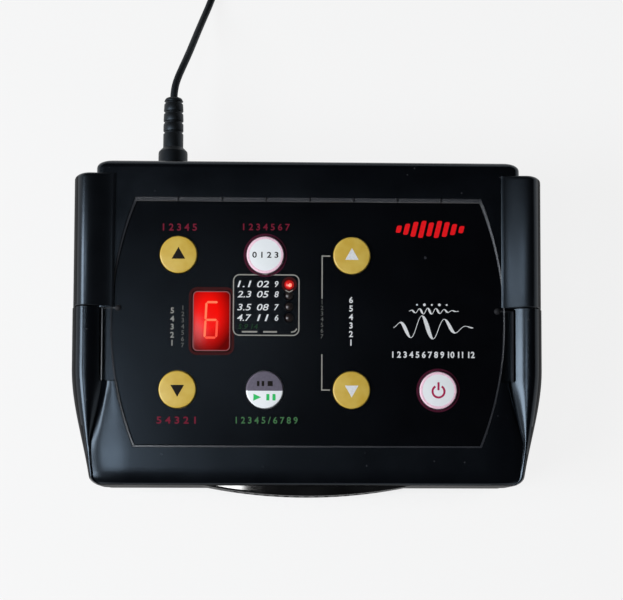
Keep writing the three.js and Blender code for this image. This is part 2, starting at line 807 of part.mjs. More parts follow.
function bottomShell() {
  const middle = (frontY + backY) / 2;
  const outline = roundedRectangle(caseWidth - 2 * trayEdge, caseDepth - 2 * trayEdge, cornerRadius - trayEdge);
  const outside = solid(new THREE.ExtrudeGeometry(outline, {
    depth: backHeight, bevelEnabled: true, bevelThickness: trayEdge, bevelSize: trayEdge,
    bevelSegments: 2, curveSegments: quarterStepCount,
  }).translate(0, middle, footHeight + trayEdge)).intersect(solid(block(
    -caseWidth, caseWidth, -caseDepth, caseDepth, 0, partingHeight,
  )));
  const inside = solid(prism(
    roundedRectangle(caseWidth - 2 * wall, caseDepth - 2 * wall, cornerRadius - wall / 2),
    trayTop, partingHeight + overrun,
  ).translate(0, middle, 0));
  const posts = caseScrews.map(({ x, y }) => solid(
    rod(caseBossRadius, trayTop - rootDepth, caseBossBase, x, y),
  ));
  const tongues = mirrored((side) => solid(block(
    side * (halfWidth - wall - fitGap - wall / 4) - wall / 4,
    side * (halfWidth - wall - fitGap - wall / 4) + wall / 4,
    frontY + 2 * caseScrewInset, backY - 2 * caseScrewInset,
    trayTop - rootDepth, partingHeight + wall,
  )));
  const ribOuter = doorHalf + doorFlange + fitGap + bayRib;
  const ribInner = doorHalf + doorFlange + fitGap;
  const sideRibs = mirrored((side) => solid(block(
    doorX + side * (ribOuter + ribInner) / 2 - bayRib / 2,
    doorX + side * (ribOuter + ribInner) / 2 + bayRib / 2,
    doorFrontY - bayRib, backY - wall - fitGap, trayTop - rootDepth, trayTop + bayRibHeight,
  )));
  const frontRib = solid(block(
    doorX - ribOuter, doorX + ribOuter, doorFrontY - bayRib - fitGap, doorFrontY - fitGap,
    trayTop - rootDepth, trayTop + bayRibHeight,
  ));
  const batteryRearY = backY - batteryBack + batteryDepth / 2 + fitGap;
  const rearRib = solid(block(
    doorX - ribOuter, doorX + ribOuter, batteryRearY, batteryRearY + bayRib,
    doorTop + fitGap, trayTop + bayRibHeight,
  ));
  const whole = joined(
    cut(outside, inside), ...posts, ...tongues, ...sideRibs, frontRib, rearRib,
  );
  const bayMouth = solid(block(
    doorX - doorHalf - fitGap, doorX + doorHalf + fitGap,
    doorFrontY - fitGap, backY + overrun, 0, trayTop + rootDepth,
  ));
  const flangeWay = solid(block(
    doorX - ribInner, doorX + ribInner,
    doorFrontY - fitGap, backY + overrun, trayTop, doorTop + fitGap,
  ));
  const lipWay = solid(block(
    doorX - ribInner, doorX + ribInner,
    backY - wall - fitGap, backY + overrun, trayTop, partingHeight + overrun,
  ));
  const screwHoles = caseScrews.map(({ x, y }) => solid(
    rod(caseScrewRadius + fitGap, 0, caseBossBase + overrun, x, y),
  ));
  const headHoles = caseScrews.map(({ x, y }) => solid(
    rod(caseScrewHeadRadius + fitGap, 0, footHeight + caseScrewSink, x, y),
  ));
  return cut(whole, bayMouth, flangeWay, lipWay, ...screwHoles, ...headHoles);
}

function batteryDoor() {
  const plate = solid(block(
    doorX - doorHalf, doorX + doorHalf, doorFrontY, backY, footHeight, doorTop,
  ));
  const wings = solid(block(
    doorX - doorHalf - doorFlange, doorX + doorHalf + doorFlange,
    doorFrontY, backY - wall, trayTop + fitGap, doorTop,
  ));
  const lip = solid(block(
    doorX - doorHalf - doorFlange, doorX + doorHalf + doorFlange,
    backY - wall, backY, trayTop + fitGap, partingHeight - fitGap,
  ));
  const grips = [];
  for (let i = 0; i < doorGripCount; i += 1) {
    const y = backY - doorGripInset - i * doorGripPitch;
    grips.push(solid(block(
      doorX - doorHalf / 2, doorX + doorHalf / 2, y - doorGripWidth / 2, y + doorGripWidth / 2,
      0, footHeight + doorGripDepth,
    )));
  }
  return cut(joined(plate, wings, lip), ...grips);
}

function batteryCell() {
  const y = backY - batteryBack;
  return block(
    batteryX - batteryLength / 2, batteryX + batteryLength / 2,
    y - batteryDepth / 2, y + batteryDepth / 2, doorTop + fitGap, doorTop + fitGap + batteryHeight,
  );
}

function batterySnap() {
  const y = backY - batteryBack;
  const x = batteryX + batteryLength / 2 + fitGap;
  return block(
    x, x + snapThickness - fitGap, y - batteryDepth / 2, y + batteryDepth / 2,
    doorTop + 2 * fitGap, doorTop + batteryHeight * 0.8,
  );
}

// Speaker behind the front wall, and its bow-fronted cover
function stadium(width, height, y) {
  const outline = roundedRectangle(width, height, height / 2 - tableGap);
  return outline.getPoints(quarterStepCount).slice(0, -1)
    .map((point) => new THREE.Vector3(point.x, y, speakerLevel + point.y));
}

const gasketY = frontY + wall;
const frameY = gasketY + gasketThickness;
const basketY = frameY + speakerPlate;

function upright(shape, yLow, yHigh, level) {
  return prism(shape, -yHigh, -yLow).rotateX(Math.PI / 2).translate(0, 0, level);
}

function speakerGasket() {
  const outline = roundedRectangle(speakerWidth, speakerHeight, speakerHeight / 2 - tableGap);
  outline.holes.push(roundedRectangle(
    speakerWidth - 2 * gasketWidth, speakerHeight - 2 * gasketWidth, speakerHeight / 2 - gasketWidth - tableGap,
  ));
  return upright(outline, gasketY, frameY, speakerLevel);
}

function speakerFrame() {
  const outline = roundedRectangle(speakerWidth, speakerHeight, speakerHeight / 2 - tableGap);
  outline.holes.push(roundedRectangle(
    speakerWidth - 2 * gasketWidth, speakerHeight - 2 * gasketWidth, speakerHeight / 2 - gasketWidth - tableGap,
  ));
  const rim = solid(upright(outline, frameY, basketY, speakerLevel));
  const sizes = [speakerWidth - 2 * basketInset, speakerHeight - 2 * basketInset];
  const outside = solid(loft([
    stadium(4 * magnetRadius, sizes[1] * 0.8, basketY + basketDepth),
    stadium(sizes[0] + 2 * speakerPlate, sizes[1] + 2 * speakerPlate, basketY),
    stadium(sizes[0] + 2 * speakerPlate, sizes[1] + 2 * speakerPlate, basketY - speakerPlate / 2),
  ]));
  const inside = solid(loft([
    stadium(
      4 * magnetRadius - 2 * speakerPlate, sizes[1] * 0.8 - 2 * speakerPlate,
      basketY + basketDepth - speakerPlate,
    ),
    stadium(sizes[0], sizes[1], basketY),
    stadium(sizes[0], sizes[1], basketY - 2 * speakerPlate),
  ]));
  return cut(joined(rim, outside), inside);
}

function speakerCone() {
  const width = speakerWidth - 2 * coneInset;
  const height = speakerHeight - 2 * coneInset;
  const y = frameY + fitGap;
  return loft([
    stadium(2 * coneHub, coneHub, y + coneDepth),
    stadium(width, height, y),
    stadium(width, height, y + coneThickness),
    stadium(2 * coneHub, coneHub, y + coneDepth + coneThickness),
  ].reverse());
}

function speakerMagnet() {
  const y = basketY + basketDepth + fitGap;
  return rod(magnetRadius, -y - magnetDepth, -y, 0, 0, roundSideCount)
    .rotateX(Math.PI / 2).translate(0, 0, speakerLevel);
}

function bowOutline(inset) {
  const half = bowWidth / 2;
  const arcRadius = (half * half + bowProud * bowProud) / (2 * bowProud);
  const angle = Math.asin(half / arcRadius);
  const shape = new THREE.Shape();
  shape.absarc(0, -bowProud + arcRadius, arcRadius - inset, -Math.PI / 2 - angle, -Math.PI / 2 + angle, false);
  return shape;
}

function speakerCover() {
  const wallFace = frontY - fitGap / 3;
  const rim = new THREE.ExtrudeGeometry(bowOutline(bowEdge), {
    depth: bowHeight - 2 * bowEdge, bevelEnabled: true, bevelThickness: bowEdge, bevelSize: bowEdge,
    bevelSegments: 2, curveSegments: roundSideCount / 2,
  }).translate(0, frontY, bowLevel + bowEdge);
  const clear = solid(block(-bowWidth, bowWidth, wallFace, backY, 0, backHeight));
  const inner = solid(prism(
    bowOutline(bowSkin), bowLevel + bowSkin, bowLevel + bowHeight - bowSkin, roundSideCount / 2,
  ).translate(0, frontY, 0));
  const collar = roundedRectangle(
    speakerWidth - 2 * coneInset - 2 * fitGap, speakerHeight - 2 * gasketWidth - 2 * fitGap, gasketWidth - fitGap,
  );
  collar.holes.push(roundedRectangle(
    speakerWidth - 2 * coneInset - 2 * bowSkin, speakerHeight - 2 * gasketWidth - 2 * bowSkin,
    gasketWidth - bowSkin,
  ));
  const ring = solid(upright(collar, frontY - bowProud * 0.45, frontY + wall / 2, speakerLevel));
  const slots = [];
  for (let i = 0; i < bowSlotCount; i += 1) {
    const x = (i - (bowSlotCount - 1) / 2) * bowSlotPitch;
    slots.push(solid(block(
      x - bowSlotWidth / 2, x + bowSlotWidth / 2, frontY - 2 * bowProud, frontY - bowProud * 0.05,
      speakerLevel - bowSlotHeight / 2, speakerLevel + bowSlotHeight / 2,
    )));
  }
  const skin = cut(solid(rim), clear, inner);
  return cut(joined(skin, ring), ...slots);
}

// Supply socket on the rear wall, and the plug that pulls out of it
function dcSocket() {
  const high = backY - wall - fitGap;
  const body = solid(block(
    plugX - socketSize / 2, plugX + socketSize / 2, high - socketLength, high,
    plugLevel - socketSize / 2, plugLevel + socketSize / 2,
  ));
  const boreDepth = barrelLength - wall;
  const bore = alongY(rod(barrelRadius + fitGap, -boreDepth, overrun), high);
  const pin = alongY(rod(socketPinRadius, -boreDepth - rootDepth, -barrelBore), high);
  return joined(cut(body, bore), pin);
}

// Lays a piece that was made along Z along Y on the plug's axis, with its zero at the given place
function alongY(geometry, y) {
  return solid(geometry.rotateX(-Math.PI / 2).translate(plugX, y, plugLevel));
}

const plugFaceY = backY + fitGap;

function plugBarrel() {
  const reach = barrelLength;
  const profile = [
    [barrelBore, -reach], [barrelRadius, -reach], [barrelRadius, 0], [barrelBore, 0], [barrelBore, -reach],
  ];
  return alongY(turned(profile), plugFaceY);
}

function plugBody() {
  const collar = plugCollarLength;
  const end = collar + reliefLength;
  const profile = [
    [0, fitGap],
    [plugCollarRadius - reliefGroove, fitGap],
    [plugCollarRadius, fitGap + reliefGroove],
    [plugCollarRadius, collar - plugCollarSlope],
    [reliefRadius, collar],
  ];
  const grooveStart = collar + reliefLength * 0.27;
  const pitch = (reliefLength * 0.8) / reliefGrooveCount;
  for (let i = 0; i < reliefGrooveCount; i += 1) {
    const low = grooveStart + i * pitch;
    const radius = THREE.MathUtils.lerp(reliefRadius, reliefEndRadius, (i / reliefGrooveCount) ** 2);
    profile.push([radius, low]);
    profile.push([radius - reliefGroove, low + reliefGrooveWidth / 4]);
    profile.push([radius - reliefGroove, low + reliefGrooveWidth * 0.75]);
    profile.push([radius, low + reliefGrooveWidth]);
  }
  profile.push([reliefEndRadius, end - reliefGrooveWidth]);
  profile.push([reliefEndRadius - reliefGrooveWidth, end]);
  profile.push([0, end]);
  return alongY(turned(profile), plugFaceY);
}

// Supply cord from the plug down to the table and on to the coil
const tieLow = tableGap;
const coilLevel = tieLow + tieThickness + fitGap + cordRadius;
const layerTurnCount = coilTurnCount / coilLayerCount;
const coilOuterRadius = coilMeanRadius + layerTurnCount * gridPitch / 2;
const coilStart = [coilCentre[0] - coilOuterRadius, coilCentre[1] - coilLeadIn, coilLevel];

const cordPoints = [
  [plugX, plugFaceY + plugCollarLength + reliefLength + fitGap, plugLevel],
  [-50.6, 93.1, 23.9],
  [-49.6, 97.5, 23.2],
  [-47.5, 103.4, 21],
  [-45.6, 109.1, 17.8],
  [-43.9, 115.1, 14],
  [-42.2, 121.1, 10.2],
  [-40.4, 127, 6.8],
  [-38.4, 133, 4],
  [-36.4, 139.5, 2.2],
  [-34.8, 147, 1.8],
  [-33.8, 155, 2.3],
  [coilStart[0], coilStart[1] - 2 * cordRadius, coilLevel],
  [coilStart[0], coilStart[1] - fitGap, coilLevel],
];

// The coil winds clockwise: in, out, in and out, and climbs a layer where the spiral reverses
function coilRoute() {
  const layerAngle = layerTurnCount * Math.PI * 2;
  const points = [[coilStart[0], coilStart[1], coilLevel]];
  const count = Math.round(coilTurnCount * coilStepCount);
  for (let i = 0; i <= count; i += 1) {
    const turn = (i / coilStepCount) * Math.PI * 2;
    const layer = Math.min(coilLayerCount - 1, Math.floor(turn / layerAngle));
    const along = turn / layerAngle - layer;
    const inward = layer % 2 === 0 ? along : 1 - along;
    const radius = coilOuterRadius - inward * layerTurnCount * gridPitch;
    let level = 0;
    for (let step = 1; step < coilLayerCount; step += 1) {
      const nearness = (turn - step * layerAngle) / Math.PI + 0.5;
      level += THREE.MathUtils.smoothstep(nearness, 0, 1);
    }
    const angle = Math.PI - turn;
    points.push([
      coilCentre[0] + radius * Math.cos(angle),
      coilCentre[1] + radius * Math.sin(angle),
      coilLevel + level * gridPitch,
    ]);
  }
  const [x, y, z] = points[points.length - 1];
  const rise3 = adapterLevel - z;
  for (let i = 1; i <= 5; i += 1) {
    const share = i / 5;
    points.push([x + share * coilLeadOut, y, z + rise3 * THREE.MathUtils.smoothstep(share, 0.1, 0.8)]);
  }
  return points.map((point) => new THREE.Vector3(...point));
}

const adapterLevel = adapterHeight / 2;

// One unbroken tube along the route, with a ring of sides at each point
function woundTube(route, radius, sides) {
  const sections = route.map((point, i) => {
    const before = route[Math.max(0, i - 1)];
    const after = route[Math.min(route.length - 1, i + 1)];
    const ahead = after.clone().sub(before).normalize();
    const across = new THREE.Vector3(ahead.y, -ahead.x, 0).normalize();
    const up = across.clone().cross(ahead);
    const ring = [];
    for (let j = 0; j < sides; j += 1) {
      const angle = ((j + 0.5) / sides) * Math.PI * 2;
      ring.push(point.clone()
        .addScaledVector(across, radius * Math.cos(angle))
        .addScaledVector(up, radius * Math.sin(angle)));
    }
    return ring;
  });
  const positions = sections.flat().flatMap((point) => point.toArray());
  const index = [];
  for (let i = 0; i + 1 < sections.length; i += 1) {
    for (let j = 0; j < sides; j += 1) {
      const a = i * sides + j;
      const b = i * sides + (j + 1) % sides;
      index.push(a, b + sides, b, a, a + sides, b + sides);
    }
  }
  const last = (sections.length - 1) * sides;
  for (let j = 1; j + 1 < sides; j += 1) {
    index.push(0, j, j + 1, last, last + j + 1, last + j);
  }
  const geometry = new THREE.BufferGeometry();
  geometry.setAttribute('position', new THREE.Float32BufferAttribute(positions, 3));
  geometry.setIndex(index);
  geometry.computeVertexNormals();
  return geometry;
}

// The least distance between stretches of the coil that aren't neighbours along it, less its thickness
function leastGap(route) {
  const fine = [];
  for (let i = 0; i + 1 < route.length; i += 1) {
    for (const share of [0, 0.25, 0.5, 0.75]) {
      fine.push(route[i].clone().lerp(route[i + 1], share));
    }
  }
  const skip = coilStepCount * 2;
  let least = Infinity;
  for (let i = 0; i < fine.length; i += 1) {
    for (let j = i + skip; j < fine.length; j += 1) {
      least = Math.min(least, fine[i].distanceTo(fine[j]));
    }
  }
  return least - 2 * cordRadius;
}

function coilTie() {
  const innerRadius = coilOuterRadius - layerTurnCount * gridPitch - cordRadius - fitGap;
  const outerRadius = coilOuterRadius + cordRadius + fitGap;
  const low = coilLevel - cordRadius - fitGap;
  const high = coilLevel + (coilLayerCount - 1) * gridPitch + cordRadius + fitGap;
  const outline = roundedRectangle(
    outerRadius - innerRadius + 2 * tieThickness, high - low + 2 * tieThickness, 2 * tieThickness,
  );
  outline.holes.push(roundedRectangle(outerRadius - innerRadius, high - low, tieThickness));
  return prism(outline, -tieWidth / 2, tieWidth / 2)
    .rotateX(Math.PI / 2)
    .rotateZ(Math.PI / 2)
    .translate(coilCentre[0], coilCentre[1] - (innerRadius + outerRadius) / 2, (low + high) / 2);
}

// Wall adapter lying on its front, with its two pins up
function adapterPlace() {
  const x = coilCentre[0] + coilLeadOut + fitGap;
  return { x, y: coilCentre[1] + coilOuterRadius };
}

function adapterBody() {
  const { x, y } = adapterPlace();
  const outline = roundedRectangle(
    adapterLength - 2 * adapterEdge, adapterDepth - 2 * adapterEdge, adapterCorner - adapterEdge,
  );
  const box = solid(new THREE.ExtrudeGeometry(outline, {
    depth: adapterHeight - 2 * adapterEdge, bevelEnabled: true, bevelThickness: adapterEdge,
    bevelSize: adapterEdge, bevelSegments: 2, curveSegments: quarterStepCount,
  }).translate(x + adapterRelief + adapterLength / 2, y, adapterEdge));
  const relief = solid(turned([
    [0, 0], [adapterReliefEndRadius, 0], [adapterReliefRadius, adapterRelief + rootDepth],
    [0, adapterRelief + rootDepth],
  ]).rotateY(Math.PI / 2).translate(x, y, adapterLevel));
  return joined(box, relief);
}

function adapterPin(side) {
  const { x, y } = adapterPlace();
  return turned([
    [0, adapterHeight],
    [pinRadius, adapterHeight],
    [pinRadius, adapterHeight + pinLength - pinRadius / 2],
    [pinRadius / 2, adapterHeight + pinLength],
    [0, adapterHeight + pinLength],
  ]).translate(x + adapterRelief + adapterLength / 2, y + side * pinPitch / 2, 0);
}

function foot() {
  return turned([
    [0, 0],
    [footRadius - footChamfer, 0],
    [footRadius, footChamfer],
    [footRadius, footHeight],
    [0, footHeight],
  ], roundSideCount);
}

// Leads inside the case
const leadRadius = 0.7;
const leadSideCount = 6;
const leadStepCount = 10;
const magnetEnd = basketY + basketDepth + magnetDepth + 2 * fitGap;
const leadReach = 8;
const boardFrontEdge = frontY + boardFrontInset;
const boardUnderside = (y) => deckHeightAt(y) - boardLow / Math.cos(slope) - fitGap;
const speakerLeadPoints = [
  [magnetRadius / 2, magnetEnd, speakerLevel],
  [magnetRadius / 2, magnetEnd + leadReach / 2, speakerLevel],
  [magnetRadius, boardFrontEdge + leadRadius, speakerLevel + leadRadius],
  [magnetRadius, boardFrontEdge + 2 * leadRadius, boardUnderside(boardFrontEdge + 2 * leadRadius)],
];
const snapX = batteryX + batteryLength / 2 + (snapThickness + fitGap) / 2;
const snapY = backY - batteryBack;
const snapTop = doorTop + batteryHeight * 0.8 + fitGap;
const batteryLeadPoints = [
  [snapX, snapY, snapTop],
  [snapX, snapY, snapTop + leadReach / 4],
  [snapX - leadReach / 4, snapY - leadReach / 2, snapTop + leadReach * 0.8],
  [snapX - leadReach / 4, snapY - leadReach / 2, boardUnderside(snapY - leadReach / 2)],
];

addMesh(group, 'top_shell', topShell(), finishes.shell);
addMesh(group, 'bottom_shell', bottomShell(), finishes.shell);
addMesh(group, 'right_rear_rail', rearRail(1), finishes.rail);
addMesh(group, 'left_rear_rail', rearRail(-1), finishes.rail);
addMesh(group, 'speaker_cover', speakerCover(), finishes.gloss);
addMesh(deck, 'keypad_plate', keypadPlate(), finishes.plate);

for (const { name, x, y, finish } of keyPlaces) {
  addMesh(deck, `${name}_key`, keyCap(), finish).position.set(x, y, 0);
  addMesh(deck, `${name}_switch`, tactSwitch(), finishes.chip).position.set(x, y, 0);
}

addMesh(deck, 'display_lens', displayLens(), finishes.window).position.set(windowX, windowY, 0);
addMesh(deck, 'display_module', displayModule(), finishes.chip);
lampPlaces.forEach(({ x, y }, i) => {
  addMesh(deck, `mode_lamp_${i + 1}`, lamp(), finishes.lamp).position.set(x, y, 0);
});
addMesh(deck, 'main_board', mainBoard(), finishes.board);
addMesh(deck, 'sound_chip', soundChip(), finishes.chip);
boardHoles.forEach(({ x, y }, i) => {
  const body = screw(boardScrewRadius, boardScrewLength, boardScrewHeadRadius, boardScrewHeadHeight);
  addMesh(deck, `board_screw_${i + 1}`, body, finishes.steel).position.set(x, y, -boardLow - fitGap);
});

addMesh(group, 'speaker_gasket', speakerGasket(), finishes.foam);
addMesh(group, 'speaker_frame', speakerFrame(), finishes.steel);
addMesh(group, 'speaker_cone', speakerCone(), finishes.paper);
addMesh(group, 'speaker_magnet', speakerMagnet(), finishes.magnet);
addMesh(group, 'speaker_lead', tube(speakerLeadPoints, leadRadius, leadSideCount, leadStepCount), finishes.lead);

addMesh(group, 'battery_door', batteryDoor(), finishes.shell);
addMesh(group, 'battery_cell', batteryCell(), finishes.battery);
addMesh(group, 'battery_snap', batterySnap(), finishes.rubber);
addMesh(group, 'battery_lead', tube(batteryLeadPoints, leadRadius, leadSideCount, leadStepCount), finishes.lead);
caseScrews.forEach(({ x, y }, i) => {
  const body = screw(caseScrewRadius, caseScrewLength, caseScrewHeadRadius, caseScrewHeadHeight);
  addMesh(group, `case_screw_${i + 1}`, body, finishes.steel).position.set(x, y, caseScrewHeadTop);
});
feet.forEach(({ x, y }, i) => {
  addMesh(group, `foot_${i + 1}`, foot(), finishes.rubber).position.set(x, y, 0);
});

addMesh(group, 'dc_socket', dcSocket(), finishes.chip);
addMesh(group, 'plug_barrel', plugBarrel(), finishes.brass);
addMesh(group, 'plug_body', plugBody(), finishes.rubber);
addMesh(group, 'supply_cord', tube(cordPoints, cordRadius, cordSideCount, cordStepCount), finishes.cord);

const route = coilRoute();
console.log(`least gap of the coil to itself: ${leastGap(route).toFixed(3)} mm`);
addMesh(group, 'cord_coil', woundTube(route, cordRadius, coilSideCount), finishes.cord);
addMesh(group, 'coil_tie', coilTie(), finishes.rubber);
addMesh(group, 'adapter_body', adapterBody(), finishes.shell);
addMesh(group, 'adapter_pin_front', adapterPin(-1), finishes.brass);
addMesh(group, 'adapter_pin_back', adapterPin(1), finishes.brass);

export default group;
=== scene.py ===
from math import asin, atan, copysign, cos, hypot, pi, radians, sin, sqrt

import bmesh
import bpy
from mathutils import Matrix, Quaternion, Vector


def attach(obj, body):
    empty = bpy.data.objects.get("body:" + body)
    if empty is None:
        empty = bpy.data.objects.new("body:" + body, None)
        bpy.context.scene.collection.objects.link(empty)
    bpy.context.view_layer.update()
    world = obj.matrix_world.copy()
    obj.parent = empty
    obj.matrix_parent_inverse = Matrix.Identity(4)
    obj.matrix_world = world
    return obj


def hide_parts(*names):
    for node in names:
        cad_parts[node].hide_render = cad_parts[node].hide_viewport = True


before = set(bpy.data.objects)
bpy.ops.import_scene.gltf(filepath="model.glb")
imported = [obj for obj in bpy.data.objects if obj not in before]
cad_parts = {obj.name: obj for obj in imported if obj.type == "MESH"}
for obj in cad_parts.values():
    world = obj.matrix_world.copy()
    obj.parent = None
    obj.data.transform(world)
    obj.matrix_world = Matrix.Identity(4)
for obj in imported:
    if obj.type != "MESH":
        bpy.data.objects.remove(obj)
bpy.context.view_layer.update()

# Electronic shruti box. Sizes are in millimetres and turn into metres when a mesh is made.
# +X to the player's right, +Y to the back, +Z up, the table at z 0.
mm = 0.001
scene = bpy.context.scene
scene.view_settings.view_transform = "Standard"


def addObject(name, data):
    thing = bpy.data.objects.new(name, data)
    scene.collection.objects.link(thing)
    return thing


# Camera
cameraSizes = {
    "place": (-16.59, -76.14, 631.71),
    "turn": (0.1449175, -0.0302022, 0.0035628),  # rotation vector from straight down, radians
    "lens": 94.86,
    "sensor": 36,
}


def makeCamera(s):
    data = bpy.data.cameras.new("camera")
    data.lens, data.sensor_width = s["lens"], s["sensor"]
    data.clip_start, data.clip_end = 0.02, 10
    camera = addObject("camera", data)
    turn = Vector(s["turn"])
    camera.matrix_world = (Matrix.Translation(Vector(s["place"]) * mm)
                           @ Quaternion(turn.normalized(), turn.length).to_matrix().to_4x4())
    scene.camera = camera


makeCamera(cameraSizes)
print("camera placed")


# Materials
def newMaterial(name, colour, roughness, metallic=0.0, specular=0.5):
    material = bpy.data.materials.new(name)
    material.use_nodes = True
    shader = material.node_tree.nodes["Principled BSDF"]
    for entry, value in (("Base Color", (*colour, 1)), ("Roughness", roughness),
                         ("Metallic", metallic), ("Specular IOR Level", specular)):
        shader.inputs[entry].default_value = value
    return material, shader


# A new node in the tree of another one
def addNode(near, kind, **values):
    node = near.id_data.nodes.new(kind)
    for entry, value in values.items():
        if entry in node.inputs:
            node.inputs[entry].default_value = value
        else:
            setattr(node, entry, value)
    return node


def wire(source, output, target, entry):
    source.id_data.links.new(source.outputs[output], target.inputs[entry])


# A node that takes its place from the object, so a pattern keeps its scale
def placedNode(near, kind, **values):
    node = addNode(near, kind, **values)
    wire(addNode(near, "ShaderNodeTexCoord"), "Object", node, "Vector")
    return node


def noiseOn(shader, scale, detail=2):
    return placedNode(shader, "ShaderNodeTexNoise", Scale=scale, Detail=detail, Roughness=0.6)


def spread(source, output, found, wanted):
    ranged = addNode(source, "ShaderNodeMapRange")
    for entry, value in zip(("From Min", "From Max", "To Min", "To Max"), found + wanted):
        ranged.inputs[entry].default_value = value
    wire(source, output, ranged, "Value")
    return ranged


def driftGloss(shader, noise, low, high):
    wire(spread(noise, "Fac", (0.3, 0.7), (low, high)), "Result", shader, "Roughness")


def bumpFrom(shader, noise, strength, height):
    bump = addNode(shader, "ShaderNodeBump", Strength=strength, Distance=height * mm)
    wire(noise, "Fac", bump, "Height")
    wire(bump, "Normal", shader, "Normal")


def mixColour(shader, noise, places, colours, entry="Base Color"):
    ramp = addNode(shader, "ShaderNodeValToRGB")
    for element, place, colour in zip(ramp.color_ramp.elements, places, colours):
        element.position, element.color = place, (*colour, 1)
    wire(noise, "Fac", ramp, "Fac")
    wire(ramp, "Color", shader, entry)


# Moulded plastic: spark-eroded grain, slow gloss drift, and a few pale specks of dust
def mouldedPlastic(name, dark, pale, roughness, grain, dust=0.0, specular=0.5, grainScale=2600):
    material, shader = newMaterial(name, dark, roughness, specular=specular)
    shader.inputs["Specular Tint"].default_value = (0.66, 0.82, 1, 1)
    drift = noiseOn(shader, 60, 3)
    mixColour(shader, drift, (0.35, 0.7), (dark, pale))
    driftGloss(shader, drift, roughness - 0.02, roughness + 0.03)
    bumpFrom(shader, noiseOn(shader, grainScale), grain, 0.04)
    if dust:
        speck = placedNode(shader, "ShaderNodeTexVoronoi", Scale=190)
        gate = addNode(shader, "ShaderNodeMix", data_type="RGBA")
        wire(spread(speck, "Distance", (0.0, 0.07), (dust, 0.0)), "Result", gate, "Factor")
        wire(shader.inputs["Base Color"].links[0].from_node, "Color", gate, "A")
        gate.inputs["B"].default_value = (0.16, 0.165, 0.18, 1)
        wire(gate, "Result", shader, "Base Color")
    return material


def glossPlastic(name, colour, roughness, drift=0.03, specular=0.5):
    material, shader = newMaterial(name, colour, roughness, specular=specular)
    wave = noiseOn(shader, 90, 3)
    driftGloss(shader, wave, roughness, roughness + drift)
    pale = tuple(min(1, c * 1.25 + 0.004) for c in colour)
    mixColour(shader, wave, (0.3, 0.75), (colour, pale))
    bumpFrom(shader, wave, 0.05, 0.05)
    return material


# Screen-printed ink: matt, a little uneven in body
def printedInk(name, colour):
    material, shader = newMaterial(name, colour, 0.62, specular=0.15)
    wave = noiseOn(shader, 1300)
    mixColour(shader, wave, (0.3, 0.6), (tuple(c * 0.85 for c in colour), colour))
    bumpFrom(shader, wave, 0.1, 0.02)
    return material


def glowing(name, colour, light, strength=1.0):
    material, shader = newMaterial(name, colour, 0.3)
    shader.inputs["Emission Color"].default_value = (*light, 1)
    shader.inputs["Emission Strength"].default_value = strength
    bumpFrom(shader, noiseOn(shader, 400), 0.05, 0.03)
    return material


# Key caps: the colour drifts between two tones, as in thick tinted plastic
def keyPlastic(name, colour, pale):
    material, shader = newMaterial(name, colour, 0.36)
    mixColour(shader, noiseOn(shader, 140), (0.38, 0.68), (colour, pale))
    bumpFrom(shader, noiseOn(shader, 2200), 0.08, 0.03)
    return material


# Red filter over the lit digit: brightest round the given place, nearly dark at the far corners
def windowGlow(name, centre, reach, bright, dim):
    material, shader = newMaterial(name, (0.06, 0.001, 0.001), 0.22, specular=0.15)
    mapping = placedNode(shader, "ShaderNodeMapping", Scale=(1 / (reach[0] * mm), 1 / (reach[1] * mm), 0),
                         Location=(-centre[0] / reach[0], -centre[1] / reach[1], 0))
    ball = addNode(shader, "ShaderNodeTexGradient", gradient_type="SPHERICAL")
    wire(mapping, "Vector", ball, "Vector")
    mixColour(shader, ball, (0.0, 0.62), (dim, bright), "Emission Color")
    shader.inputs["Emission Strength"].default_value = 1.0
    return material


def metalFinish(name, colour, roughness):
    material, shader = newMaterial(name, colour, roughness, metallic=1.0)
    grain = noiseOn(shader, 1500, 3)
    driftGloss(shader, grain, roughness - 0.06, roughness + 0.1)
    bumpFrom(shader, grain, 0.2, 0.03)
    return material


